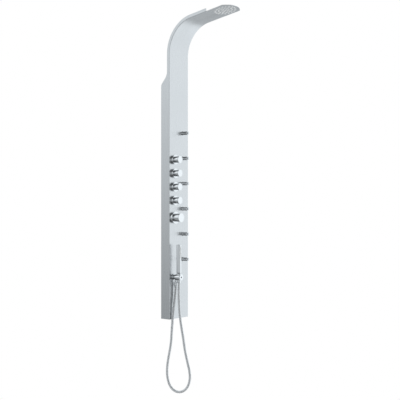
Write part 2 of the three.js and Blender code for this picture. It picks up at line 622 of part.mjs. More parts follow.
// The union nut under the outlet; the hose leaves from its lower end.
const hoseNut = () => turnedUp([
  [0, OUTLET_LOW - HOSE_NUT_LENGTH], [HOSE_RADIUS + 1, OUTLET_LOW - HOSE_NUT_LENGTH],
  [HOSE_RADIUS + 1, OUTLET_LOW - HOSE_NUT_LENGTH + 7], [HOSE_NUT_RADIUS, OUTLET_LOW - HOSE_NUT_LENGTH + 9],
  [HOSE_NUT_RADIUS, OUTLET_LOW - GAP], [0, OUTLET_LOW - GAP],
], HOLDER_X, OUTLET_Y, 12);

function coneNut() {
  const bore = STICK_SPIGOT_RADIUS + GAP;
  const floor = CONE_NUT_HEAD - STICK_SPIGOT_LENGTH - GAP;
  return turnedUp([
    [0, CONE_NUT_FOOT], [CONE_NUT_LOW, CONE_NUT_FOOT], [CONE_NUT_TOP - 0.2, CONE_NUT_HEAD],
    [bore, CONE_NUT_HEAD], [bore, floor], [0, floor],
  ], HOLDER_X, CRADLE_Y, 20);
}

const STICK_LOW = CONE_NUT_HEAD + GAP;
const STICK_TOP = STICK_LOW + STICK_LENGTH;
const SPRAY_TOP = STICK_TOP - SPRAY_FROM_TOP;

function sprayBlock(clearance, depth) {
  return block(
    HOLDER_X - SPRAY_WIDTH / 2 - clearance, HOLDER_X + SPRAY_WIDTH / 2 + clearance,
    CRADLE_Y - STICK_RADIUS - 1, CRADLE_Y - STICK_RADIUS + depth + clearance,
    SPRAY_TOP - SPRAY_LENGTH - clearance, SPRAY_TOP + clearance);
}

function handShowerBody() {
  const edge = 1.2;
  const foot = STICK_LOW + 6;
  const body = solid(turnedUp([
    [0, STICK_LOW - STICK_SPIGOT_LENGTH], [STICK_SPIGOT_RADIUS, STICK_LOW - STICK_SPIGOT_LENGTH],
    [STICK_SPIGOT_RADIUS, STICK_LOW], [CONE_NUT_TOP - 0.2, STICK_LOW], [STICK_RADIUS, foot],
    [STICK_RADIUS, STICK_TOP - edge], [STICK_RADIUS - edge, STICK_TOP], [0, STICK_TOP],
  ], HOLDER_X, CRADLE_Y, 20));
  return toGeometry(cut(body, sprayBlock(0, SPRAY_DEPTH)));
}

function sprayStrip() {
  const length = rod(STICK_RADIUS, SPRAY_TOP - SPRAY_LENGTH, SPRAY_TOP);
  const rounded = solid(turnedUp(length, HOLDER_X, CRADLE_Y, 20));
  return toGeometry(rounded.intersect(solid(sprayBlock(-GAP, SPRAY_DEPTH))));
}

function hose() {
  const end = [0, CRADLE_OUT, CONE_NUT_FOOT - GAP - HOLDER_HEIGHT];
  const points = [...HOSE_ROUTE, end].map(([across, out, rise]) => new THREE.Vector3(
    HOLDER_X + across, FACE_Y - out, HOLDER_HEIGHT + rise));
  return tube(points, HOSE_RADIUS, HOSE_STEPS, HOSE_SIDES);
}

// ---- assembly -----------------------------------------------------------------------------------
const column = new THREE.Group();
column.position.z = -BRACKET_HEIGHT;

function add(name, geometry, { color, roughness, metalness }) {
  const mesh = new THREE.Mesh(geometry, new THREE.MeshStandardMaterial({ color, roughness, metalness }));
  mesh.name = name;
  column.add(mesh);
}

add('column_shell', columnShell(), BRUSHED);
add('neck_cover', neckCover(), BRUSHED);
add('bottom_cap', bottomCap(), BRUSHED);
add('upper_wall_bracket', wallBracket(BRACKET_HEIGHT), GALVANISED);
add('lower_wall_bracket', wallBracket(LOWER_BRACKET_HEIGHT), GALVANISED);
add('upper_hanger_bar', hangerBar(BRACKET_HEIGHT), GALVANISED);
add('lower_hanger_bar', hangerBar(LOWER_BRACKET_HEIGHT), GALVANISED);
add('nozzle_mat', nozzleMat(), SILICONE);
add('head_lid', headLid(), BRUSHED);
add('head_elbow', headElbow(), CHROME);
add('riser_pipe', riserPipe(), CHROME);
add('jet_pipe', jetPipe(), BRASS);
add('jet_feed', jetFeed(), CHROME);
add('hand_feed', handFeed(), CHROME);
add('valve_manifold', valveManifold(), BRASS);
add('hot_inlet', inlet(-1), BRASS);
add('cold_inlet', inlet(1), BRASS);
for (const control of CONTROLS) {
  add(`${control.label}_cartridge`, cartridge(control), PLASTIC);
  add(`${control.label}_spindle`, spindle(control), BRASS);
  add(`${control.label}_rose`, rose(control), CHROME);
  add(`${control.label}_knob`, knob(control), CHROME);
}
for (let i = 0; i < JET_COUNT; i += 1) {
  add(`jet_${i + 1}_housing`, jetHousing(jetHeight(i)), CHROME);
  add(`jet_${i + 1}_nozzle`, jetNozzle(jetHeight(i)), CHROME);
}
add('holder_arm', holderArm(), CHROME);
add('holder_cap', holderCap(), CHROME);
add('holder_screw', holderScrew(), GALVANISED);
add('hose_nut', hoseNut(), CHROME);
add('hose', hose(), CHROME);
add('cone_nut', coneNut(), CHROME);
add('hand_shower_body', handShowerBody(), CHROME);
add('spray_strip', sprayStrip(), SILICONE);

export default column;
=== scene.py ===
"""Looks of a wall-hung rainfall shower column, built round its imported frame.

Metres; +X to the right as one faces the column, +Y into the wall, +Z up. The origin is the back of the upper
wall bracket. Heights called "column heights" are counted from the column's lower end instead.
"""

from __future__ import annotations

import logging
import math
from dataclasses import dataclass
from enum import Enum
from typing import Sequence, Union

import bpy
import numpy as np
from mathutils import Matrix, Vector


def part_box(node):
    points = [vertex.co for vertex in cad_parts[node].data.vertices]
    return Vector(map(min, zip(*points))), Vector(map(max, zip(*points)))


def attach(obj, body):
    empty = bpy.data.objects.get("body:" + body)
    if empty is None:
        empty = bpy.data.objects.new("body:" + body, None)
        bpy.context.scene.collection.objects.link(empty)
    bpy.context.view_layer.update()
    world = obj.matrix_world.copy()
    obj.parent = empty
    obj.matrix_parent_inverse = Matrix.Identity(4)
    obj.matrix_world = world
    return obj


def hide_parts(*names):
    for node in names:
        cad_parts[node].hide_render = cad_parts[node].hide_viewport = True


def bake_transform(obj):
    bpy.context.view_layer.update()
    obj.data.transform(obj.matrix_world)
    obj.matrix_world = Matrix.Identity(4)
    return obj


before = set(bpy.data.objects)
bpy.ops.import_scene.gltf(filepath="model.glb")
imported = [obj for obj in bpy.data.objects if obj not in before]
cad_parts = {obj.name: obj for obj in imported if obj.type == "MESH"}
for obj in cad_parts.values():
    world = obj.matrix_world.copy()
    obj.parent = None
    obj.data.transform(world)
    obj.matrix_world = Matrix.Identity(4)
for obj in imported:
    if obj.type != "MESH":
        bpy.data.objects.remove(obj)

LOG = logging.getLogger("shower_column")
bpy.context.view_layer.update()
MM = 0.001
X_AXIS = np.array([1.0, 0.0, 0.0])
Y_AXIS = np.array([0.0, 1.0, 0.0])
Z_AXIS = np.array([0.0, 0.0, 1.0])
OUT_OF_FACE = -Y_AXIS
MERGE_STEP = 1e-7
GROOVE_DEPTH = 0.5
GROOVE_HALF = 0.7
GROOVE_FLOOR_HALF = 0.3
CLEARANCE = 0.3

Array = np.ndarray
Number = Union[float, "Wire"]


# ---- shader building ------------------------------------------------------------------------------
class Wire:
    """A shader socket that takes part in Python arithmetic; each operation adds one Math node."""

    def __init__(self, shader: Shader, socket: bpy.types.NodeSocket) -> None:
        """Keeps the socket and the shader that it belongs to."""
        self.shader = shader
        self.socket = socket

    def _math(self, operation: str, first: Number, second: Number) -> Wire:
        """Adds a Math node on two numbers or wires and returns its output."""
        return self.shader.node("ShaderNodeMath", {"operation": operation}, {0: first, 1: second})

    def __add__(self, other: Number) -> Wire:
        """self + other."""
        return self._math("ADD", self, other)

    def __sub__(self, other: Number) -> Wire:
        """self - other."""
        return self._math("SUBTRACT", self, other)

    def __rsub__(self, other: Number) -> Wire:
        """other - self."""
        return self._math("SUBTRACT", other, self)

    def __mul__(self, other: Number) -> Wire:
        """self * other."""
        return self._math("MULTIPLY", self, other)

    def __truediv__(self, other: Number) -> Wire:
        """self / other."""
        return self._math("DIVIDE", self, other)

    def __pow__(self, other: Number) -> Wire:
        """self to the power other."""
        return self._math("POWER", self, other)

    __radd__ = __add__
    __rmul__ = __mul__


class Shader:
    """The node tree of one material or of the surroundings."""

    def __init__(self, tree: bpy.types.NodeTree) -> None:
        """Empties the tree."""
        self.tree = tree
        tree.nodes.clear()

    def node(self, kind: str, settings: dict | None = None, inputs: dict | None = None,
             output: int | str = 0) -> Wire:
        """Adds a node.

        Args:
            kind: Blender's name of the node's type.
            settings: properties of the node, set first; "stops" gives a ramp's (position, colour) pairs.
            inputs: a number, a tuple or a wire for each named or numbered socket.
            output: the socket to return.

        Returns:
            The chosen output as a wire; its node is wire.socket.node.
        """
        made = self.tree.nodes.new(kind)
        for name, value in (settings or {}).items():
            if name == "stops":
                self._set_stops(made.color_ramp, value)
            else:
                setattr(made, name, value)
        for name, value in (inputs or {}).items():
            if isinstance(value, Wire):
                self.tree.links.new(value.socket, made.inputs[name])
            else:
                made.inputs[name].default_value = value
        return Wire(self, made.outputs[output]) if len(made.outputs) else Wire(self, made.inputs[0])

    @staticmethod
    def _set_stops(ramp: bpy.types.ColorRamp, stops: Sequence[tuple[float, float]]) -> None:
        """Gives a ramp grey stops at the stated positions."""
        while len(ramp.elements) > 1:
            ramp.elements.remove(ramp.elements[-1])
        for number, (position, grey) in enumerate(stops):
            element = ramp.elements[0] if number == 0 else ramp.elements.new(position)
            element.position = position
            element.color = (grey, grey, grey, 1.0)

    def coordinate(self, source: str) -> Wire:
        """One output of a Texture Coordinate node, such as "Object" or "UV"."""
        return self.node("ShaderNodeTexCoord", output=source)

    def stretched(self, vector: Wire, scale: tuple[float, float, float]) -> Wire:
        """A coordinate multiplied by a scale along each axis."""
        return self.node("ShaderNodeVectorMath", {"operation": "MULTIPLY"}, {0: vector, 1: scale})

    def noise(self, vector: Wire, scale: float = 1.0, detail: float = 2.0, rough: float = 0.5) -> Wire:
        """Value noise from 0 to 1 at a coordinate."""
        return self.node("ShaderNodeTexNoise", None,
                         {"Vector": vector, "Scale": scale, "Detail": detail, "Roughness": rough})

    def tint(self, amount: Number, low: tuple[float, float, float], high: tuple[float, float, float]) -> Wire:
        """A colour between two, mixed by an amount from 0 to 1."""
        mixed = self.node("ShaderNodeMix", {"data_type": "RGBA", "clamp_factor": True}, output=2)
        box = mixed.socket.node
        box.inputs[6].default_value = (*low, 1.0)
        box.inputs[7].default_value = (*high, 1.0)
        if isinstance(amount, Wire):
            self.tree.links.new(amount.socket, box.inputs[0])
        else:
            box.inputs[0].default_value = amount
        return mixed

    def bump(self, height: Wire, distance: float, strength: float) -> Wire:
        """A normal tilted by a height, with the height's full range worth `distance` metres."""
        return self.node("ShaderNodeBump", None,
                         {"Height": height, "Distance": distance, "Strength": strength})


class Coordinates(Enum):
    """Where a pattern takes its place from."""

    OBJECT = "Object"
    SURFACE = "UV"


class Finish:
    """A surface finish: each different one makes one Blender material."""

    label = "finish"
    slot = ""
    _made: dict[Finish, bpy.types.Material] = {}

    def material(self) -> bpy.types.Material:
        """The finish's material, made on first use."""
        if self not in Finish._made:
            made = bpy.data.materials.new(self.label)
            made.use_nodes = True
            shader = Shader(made.node_tree)
            surface = self.surface(shader)
            shader.node("ShaderNodeOutputMaterial", None, {"Surface": surface})
            Finish._made[self] = made
        return Finish._made[self]

    def surface(self, shader: Shader) -> Wire:
        """Builds the shader nodes and returns the closure to show."""
        raise NotImplementedError

    @staticmethod
    def principled(shader: Shader, **sockets: object) -> Wire:
        """A Principled shader; underscores in the names stand for spaces."""
        inputs = {name.replace("_", " "): value for name, value in sockets.items()}
        return shader.node("ShaderNodeBsdfPrincipled", None, inputs)


@dataclass(frozen=True)
class BrushedSteel(Finish):
    """Stainless sheet brushed along its length: fine streaks that blur reflections across the grain."""

    slot = "brushed_steel"
    coordinates: Coordinates = Coordinates.SURFACE
    fine_streak: float = 0.35 * MM
    broad_streak: float = 3.5 * MM
    streak_length: float = 60 * MM
    roughness: float = 0.29
    anisotropy: float = 0.5

    @property
    def label(self) -> str:
        """The material's name."""
        return f"brushed_steel_{self.coordinates.name.lower()}"

    def surface(self, shader: Shader) -> Wire:
        """Two noises drawn out along the grain drive roughness, a slight tint and a shallow bump."""
        place = shader.coordinate(self.coordinates.value)
        along = 1 / self.streak_length

        def streaks(width: float, stretch: float, detail: float) -> Wire:
            across = 1 / width
            scale = (across, along * stretch, 1.0)
            if self.coordinates is Coordinates.OBJECT:
                scale = (across, across, along * stretch)
            return shader.noise(shader.stretched(place, scale), detail=detail)

        fine = streaks(self.fine_streak, 1.0, 2.0)
        broad = streaks(self.broad_streak, 0.35, 3.0)
        cloud = shader.noise(shader.coordinate("Object"), scale=7.0, detail=2.0)
        roughness = self.roughness + (fine - 0.5) * 0.12 + (broad - 0.5) * 0.06 + (cloud - 0.5) * 0.06
        tone = fine * 0.45 + broad * 0.55
        colour = shader.tint(tone, (0.66, 0.67, 0.68), (0.78, 0.785, 0.79))
        normal = shader.bump(fine * 0.6 + broad * 0.4, 0.012 * MM, 0.35)
        return self.principled(shader, Base_Color=colour, Metallic=1.0, Roughness=roughness, Normal=normal,
                               Anisotropic=self.anisotropy)


@dataclass(frozen=True)
class Chrome(Finish):
    """Polished chrome plate with a faint cloud of water marks."""

    label = "chrome_plate"
    slot = "chrome"
    tone: tuple[float, float, float] = (0.9, 0.91, 0.92)
    roughness: float = 0.05

    def surface(self, shader: Shader) -> Wire:
        """A cloudy noise lifts the roughness in places; a fine one keeps the plate from being perfect."""
        place = shader.coordinate("Object")
        cloud = shader.noise(place, scale=55.0, detail=3.0)
        marks = shader.noise(place, scale=420.0, detail=1.0)
        roughness = self.roughness + (cloud ** 3.0) * 0.12 + (marks - 0.5) * 0.02
        colour = shader.tint(cloud, tuple(0.97 * c for c in self.tone), self.tone)
        normal = shader.bump(cloud, 0.02 * MM, 0.1)
        return self.principled(shader, Base_Color=colour, Metallic=1.0, Roughness=roughness, Normal=normal)


@dataclass(frozen=True)
class HoseChrome(Finish):
    """The interlocked metal strip of a shower hose, rougher in the grooves between its turns, with painted
    shade darkening its colour there.
    """

    label = "hose_chrome"
    slot = "chrome"
    pitch: float = 2.4 * MM

    def surface(self, shader: Shader) -> Wire:
        """A wave along the hose paints shade into the grooves' colour and roughens them; noise varies the
        turns.
        """
        place = shader.coordinate("UV")
        parts = shader.node("ShaderNodeSeparateXYZ", None, {0: place}, output=1)
        turn = shader.node("ShaderNodeMath", {"operation": "COSINE"}, {0: parts * (2 * math.pi / self.pitch)})
        crest = (turn * -0.5 + 0.5) ** 0.6
        cloud = shader.noise(shader.coordinate("Object"), scale=90.0)
        # painted shade: the colour runs from dark in the groove floors to light on the crests
        colour = shader.tint(crest * 0.85 + cloud * 0.15, (0.66, 0.67, 0.68), (0.93, 0.94, 0.95))
        roughness = 0.4 - crest * 0.12 + (cloud - 0.5) * 0.05
        return self.principled(shader, Base_Color=colour, Metallic=0.6, Roughness=roughness)


@dataclass(frozen=True)
class Silicone(Finish):
    """Pale, slightly cloudy silicone rubber of the spray nozzles."""

    label = "silicone"
    slot = "silicone"

    def surface(self, shader: Shader) -> Wire:
        """Soft clouding in the colour and a fine matt grain."""
        place = shader.coordinate("Object")
        cloud = shader.noise(place, scale=160.0)
        grain = shader.noise(place, scale=2600.0)
        colour = shader.tint(cloud, (0.88, 0.9, 0.91), (0.95, 0.96, 0.96))
        return self.principled(shader, Base_Color=colour, Roughness=0.42 + (cloud - 0.5) * 0.1,
                               Normal=shader.bump(grain, 0.03 * MM, 0.4))


@dataclass(frozen=True)
class Brass(Finish):
    """Cast and machined brass, a little tarnished."""

    label = "brass"
    slot = "brass"

    def surface(self, shader: Shader) -> Wire:
        """Tarnish darkens the colour in patches, over a fine cast grain."""
        place = shader.coordinate("Object")
        tarnish = shader.noise(place, scale=38.0, detail=4.0)
        grain = shader.noise(place, scale=1300.0)
        colour = shader.tint(tarnish, (0.5, 0.36, 0.16), (0.78, 0.62, 0.34))
        return self.principled(shader, Base_Color=colour, Metallic=1.0, Roughness=0.3 + tarnish * 0.25,
                               Normal=shader.bump(grain, 0.05 * MM, 0.35))


@dataclass(frozen=True)
class ZincPlate(Finish):
    """Dull zinc-plated sheet with a soft spangle."""

    label = "zinc_plate"

    def surface(self, shader: Shader) -> Wire:
        """Cells of slightly different grey and dullness."""
        place = shader.coordinate("Object")
        cells = shader.node("ShaderNodeTexVoronoi", {"feature": "F1"}, {"Vector": place, "Scale": 130.0},
                            output="Color")
        grey = shader.node("ShaderNodeRGBToBW", None, {0: cells})
        colour = shader.tint(grey, (0.5, 0.52, 0.54), (0.68, 0.7, 0.71))
        return self.principled(shader, Base_Color=colour, Metallic=0.9, Roughness=0.36 + grey * 0.14)


@dataclass(frozen=True)
class MouldedPlastic(Finish):
    """Moulded plastic with a fine sparked texture."""

    label = "moulded_plastic"
    tone: tuple[float, float, float] = (0.2, 0.21, 0.22)

    def surface(self, shader: Shader) -> Wire:
        """A fine grain in bump and a slight unevenness of colour."""
        place = shader.coordinate("Object")
        grain = shader.noise(place, scale=1800.0, detail=3.0)
        cloud = shader.noise(place, scale=60.0)
        colour = shader.tint(cloud, tuple(0.9 * c for c in self.tone), tuple(1.1 * c for c in self.tone))
        return self.principled(shader, Base_Color=colour, Roughness=0.45 + (cloud - 0.5) * 0.1,
                               Normal=shader.bump(grain, 0.06 * MM, 0.5))


STEEL = BrushedSteel()
STEEL_CAD = BrushedSteel(Coordinates.OBJECT)
CHROME = Chrome()
HOSE = HoseChrome()
SILICONE = Silicone()
BRASS = Brass()
ZINC = ZincPlate()
PLASTIC = MouldedPlastic()


# ---- surfaces -------------------------------------------------------------------------------------
@dataclass
class Shell:
    """A closed surface: points, four-cornered faces and two surface coordinates for each point."""

    points: Array
    faces: Array
    places: Array

    def volume(self) -> float:
        """Signed volume by the divergence theorem: a sum of corner products over both halves of each face."""
        a, b, c, d = (self.points[self.faces[:, k]] for k in range(4))
        first = np.einsum("ij,ij->i", a, np.cross(b, c)).sum()
        second = np.einsum("ij,ij->i", a, np.cross(c, d)).sum()
        return float(first + second) / 6

    def outward(self) -> Shell:
        """The same shell with its faces turned outwards."""
        if self.volume() >= 0:
            return self
        return Shell(self.points, self.faces[:, ::-1], self.places)


def combined(shells: Sequence[Shell]) -> Shell:
    """Several shells as one set of points and faces, each shell's face numbers moved past those before it."""
    starts = np.cumsum([0] + [len(s.points) for s in shells[:-1]])
    return Shell(
        np.concatenate([s.points for s in shells]),
        np.concatenate([s.faces + start for s, start in zip(shells, starts)]),
        np.concatenate([s.places for s in shells]),
    )


def grid_faces(rows: int, columns: int, wrap_columns: bool = False) -> Array:
    """Faces between neighbouring points of a grid; wrapped, its last column joins its first."""
    i = np.arange(rows - 1)[:, None]
    j = np.arange(columns if wrap_columns else columns - 1)[None, :]
    j_next = (j + 1) % columns
    corners = [i * columns + j, i * columns + j_next, (i + 1) * columns + j_next, (i + 1) * columns + j]
    return np.stack([np.broadcast_to(c, (i.size, j.size)) for c in corners], axis=-1).reshape(-1, 4)


def grid_shell(points: Array, places: Array | None = None, wrap_columns: bool = False) -> Shell:
    """A grid of points as a shell.

    Args:
        points: rows of points, an array of rows by columns by 3.
        places: surface coordinates for each point; left out, they are its row and column in millimetres.
        wrap_columns: whether the last column joins the first.

    Returns:
        The shell.
    """
    rows, columns = points.shape[:2]
    if places is None:
        places = np.stack(np.meshgrid(np.arange(rows), np.arange(columns), indexing="ij"), axis=-1) * MM
    return Shell(points.reshape(-1, 3), grid_faces(rows, columns, wrap_columns), places.reshape(-1, 2))


def rounded(corners: Sequence[tuple[float, float]], radius: float | Sequence[float], steps: int = 5) -> Array:
    """An outline with its inner corners rounded.

    Each corner is replaced by a parabola that starts and ends `radius` away from it, or nearly half way along
    a shorter side: (1-t)^2 start + 2t(1-t) corner + t^2 end.

    Args:
        corners: points of the outline, in millimetres; the first and last stay sharp.
        radius: one size for all the inner corners, or one each, in millimetres.
        steps: points on each rounded corner.

    Returns:
        The outline's points, in metres.
    """
    points = np.asarray(corners, float)
    before, middle, after = points[:-2], points[1:-1], points[2:]
    sizes = np.broadcast_to(np.asarray(radius, float), (len(middle),))[:, None]

    def reach(towards: Array) -> Array:
        side = towards - middle
        length = np.maximum(np.linalg.norm(side, axis=1, keepdims=True), 1e-9)
        return middle + side / length * np.minimum(sizes, 0.48 * length)

    start, end = reach(before)[:, None, :], reach(after)[:, None, :]
    t = np.linspace(0, 1, steps)[None, :, None]
    curve = (1 - t) ** 2 * start + 2 * t * (1 - t) * middle[:, None, :] + t ** 2 * end
    return np.concatenate([points[:1], curve.reshape(-1, 2), points[-1:]]) * MM


def rounded_loop(corners: Sequence[tuple[float, float]], radius: float | Sequence[float]) -> Array:
    """A closed outline with every corner rounded as in rounded(); the last point repeats the first."""
    ring = rounded([corners[-1], *corners, corners[0]], radius)[1:-1]
    return np.concatenate([ring, ring[:1]])


def drum(radius: float, low: float, high: float, edge: float) -> Array:
    """The profile of a plain drum with its two edges rounded, from sizes in millimetres."""
    return rounded([(0, low), (radius, low), (radius, high), (0, high)], edge)


def groove(radius: float, at: float) -> list[tuple[float, float]]:
    """Four points, in millimetres, that cut a fine groove into a profile round the given height."""
    floor = radius - GROOVE_DEPTH
    return [(radius, at - GROOVE_HALF), (floor, at - GROOVE_FLOOR_HALF), (floor, at + GROOVE_FLOOR_HALF),
            (radius, at + GROOVE_HALF)]


def turned(profile: Array, centre: Array, axis: Array = OUT_OF_FACE, sides: int = 48) -> Shell:
    """A turned shape: centre + axis * height + radius * (cos a * across + sin a * up), for a right round.

    Args:
        profile: (radius, height) points in metres, from axis to axis or a closed loop.
        centre: the axis's starting point.
        axis: the unit vector along which heights are counted.
        sides: points round the shape.

    Returns:
        The closed shell, its places being the distance round and along the profile.
    """
    across = X_AXIS if abs(axis[0]) < 0.9 else Y_AXIS
    across = across - axis * across.dot(axis)
    across = across / np.linalg.norm(across)
    up = np.cross(axis, across)
    angle = np.arange(sides) * 2 * np.pi / sides
    round_ = np.cos(angle)[:, None] * across + np.sin(angle)[:, None] * up
    radius, height = profile[:, 0], profile[:, 1]
    points = centre + height[:, None, None] * axis + radius[:, None, None] * round_[None]
    along = np.concatenate([[0], np.cumsum(np.linalg.norm(np.diff(profile, axis=0), axis=1))])
    places = np.stack(np.broadcast_arrays(angle[None, :] * radius.max(), along[:, None]), axis=-1)
    return grid_shell(points, places, wrap_columns=True)


def spline(points: Sequence[Sequence[float]], count: int) -> Array:
    """Evenly spaced points on a centripetal Catmull-Rom curve through the given ones.

    Knots are spaced by the square root of the chords, end points are doubled by reflection, and each span is
    the usual pyramid of three linear blends. The dense curve is then resampled by its length.
    """
    given = np.asarray(points, float)
    padded = np.concatenate([2 * given[:1] - given[1:2], given, 2 * given[-1:] - given[-2:-1]])
    knots = np.concatenate([[0], np.cumsum(np.sqrt(np.linalg.norm(np.diff(padded, axis=0), axis=1)))])
    p = [padded[k:len(padded) - 3 + k, None, :] for k in range(4)]
    k = [knots[n:len(knots) - 3 + n, None, None] for n in range(4)]
    t = k[1] + (k[2] - k[1]) * np.linspace(0, 1, 60)[None, :, None]

    def mix(a: Array, b: Array, low: Array, high: Array) -> Array:
        return (a * (high - t) + b * (t - low)) / (high - low)

    first, second, third = (mix(p[n], p[n + 1], k[n], k[n + 1]) for n in range(3))
    early, late = mix(first, second, k[0], k[2]), mix(second, third, k[1], k[3])
    curve = mix(early, late, k[1], k[2]).reshape(-1, 3)
    length = np.concatenate([[0], np.cumsum(np.linalg.norm(np.diff(curve, axis=0), axis=1))])
    wanted = np.linspace(0, length[-1], count)
    return np.stack([np.interp(wanted, length, curve[:, n]) for n in range(3)], axis=1)


def path_length(points: Array) -> float:
    """The length of a line through the points."""
    return float(np.linalg.norm(np.diff(points, axis=0), axis=1).sum())


def square_to(centres: Array) -> tuple[Array, Array]:
    """Two directions square to a path and to each other at each point, the first one nearest the X axis."""
    ahead = np.gradient(centres, axis=0)
    ahead /= np.linalg.norm(ahead, axis=1, keepdims=True)
    n = X_AXIS - ahead * ahead[:, :1]
    n /= np.linalg.norm(n, axis=1, keepdims=True)
    return n, np.cross(ahead, n)


def swept(centres: Array, radii: Array, sides: int) -> Array:
    """Points of a tube: centre + radius * (cos a * n + sin a * b), n and b being square to the path."""
    n, b = square_to(centres)
    angle = np.arange(sides) * 2 * np.pi / sides
    round_ = np.cos(angle)[None, :, None] * n[:, None] + np.sin(angle)[None, :, None] * b[:, None]
    return centres[:, None] + radii[:, None, None] * round_


def tube_shell(centres: Array, radii: Array, sides: int) -> Shell:
    """A tube with flat ends, each end shrinking to a point on the centreline."""
    centres = np.concatenate([centres[:1], centres, centres[-1:]])
    along = np.concatenate([[0], np.cumsum(np.linalg.norm(np.diff(centres, axis=0), axis=1))])
    caps = [np.broadcast_to(end, (1, sides, 3)) for end in (centres[0], centres[-1])]
    points = np.concatenate([caps[0], swept(centres[1:-1], radii, sides), caps[1]])
    round_ = np.arange(sides) * 2 * np.pi / sides * radii.max()
    places = np.stack(np.broadcast_arrays(round_[None, :], along[:, None]), axis=-1)
    return grid_shell(points, places, wrap_columns=True)


def write_mesh(mesh: bpy.types.Mesh, shell: Shell) -> None:
    """Puts a shell into a mesh: equal points merge, and a face that loses a corner becomes a triangle."""
    _, first, merged = np.unique(np.round(shell.points / MERGE_STEP), axis=0, return_index=True,
                                 return_inverse=True)
    corners = merged.reshape(-1)[shell.faces]
    keep = corners != np.roll(corners, 1, axis=1)
    whole = keep.sum(axis=1) >= 3
    corners, keep, source = corners[whole], keep[whole], shell.faces[whole]
    totals = keep.sum(axis=1)
    mesh.vertices.add(len(first))
    mesh.vertices.foreach_set("co", shell.points[first].astype(np.float32).reshape(-1))
    mesh.loops.add(int(totals.sum()))
    mesh.loops.foreach_set("vertex_index", corners[keep].astype(np.int32))
    mesh.polygons.add(len(totals))
    mesh.polygons.foreach_set("loop_start", np.concatenate([[0], np.cumsum(totals)[:-1]]).astype(np.int32))
    layer = mesh.uv_layers.new(name="places")
    layer.data.foreach_set("uv", shell.places[source[keep]].astype(np.float32).reshape(-1))
    mesh.update(calc_edges=True)
    mesh.validate()


class Assembly:
    """Base of the sub-assemblies: makes pieces, puts them on bodies and reports them."""

    body = "column"

    def piece(self, name: str, shells: Sequence[Shell], finish: Finish, replaces: Sequence[str] = (),
              body: str | None = None, sharp: float = 38.0, ride: bool = True) -> bpy.types.Object:
        """Makes one object.

        Args:
            name: the piece's name.
            shells: its closed surfaces.
            finish: its surface finish, which gives the material.
            replaces: CAD nodes that it stands for.
            body: the body that it moves with, if not this assembly's own.
            sharp: edges bent by more than this many degrees look sharp.
            ride: False for a piece whose place is settled later.

        Returns:
            The object.
        """
        mesh = bpy.data.meshes.new(name)
        write_mesh(mesh, combined([s.outward() for s in shells]))
        mesh.polygons.foreach_set("use_smooth", np.ones(len(mesh.polygons), bool))
        mesh.set_sharp_from_angle(angle=math.radians(sharp))
        mesh.materials.append(finish.material())
        made = bpy.data.objects.new(name, mesh)
        bpy.context.scene.collection.objects.link(made)
        if ride:
            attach(made, body or self.body)
        if replaces:
            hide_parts(*replaces)
        LOG.info("%s: %d faces, on %s", name, len(mesh.polygons), body or self.body)
        return made

    def dress(self, node: str, finish: Finish) -> None:
        """Gives a CAD node that stays in view its finish."""
        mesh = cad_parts[node].data
        mesh.materials.clear()
        mesh.materials.append(finish.material())
        LOG.info("%s: CAD node finished as %s", node, finish.label)


def node_box(node: str) -> tuple[Array, Array]:
    """A CAD node's lowest and highest corner."""
    low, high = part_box(node)
    return np.array(low), np.array(high)


def node_size(node: str) -> Array:
    """A CAD node's width, depth and height in millimetres."""
    low, high = node_box(node)
    return (high - low) / MM


def face_centre(node: str) -> Array:
    """The point of the column's face behind a CAD node's middle."""
    low, high = node_box(node)
    return np.array([(low[0] + high[0]) / 2, FACE_Y, (low[2] + high[2]) / 2])


def foot_centre(node: str) -> Array:
    """The middle of a CAD node's lower end."""
    low, high = node_box(node)
    return np.array([(low[0] + high[0]) / 2, (low[1] + high[1]) / 2, low[2]])


FACE_Y = -55 * MM
COLUMN_FOOT = float(node_box("column_shell")[0][2])


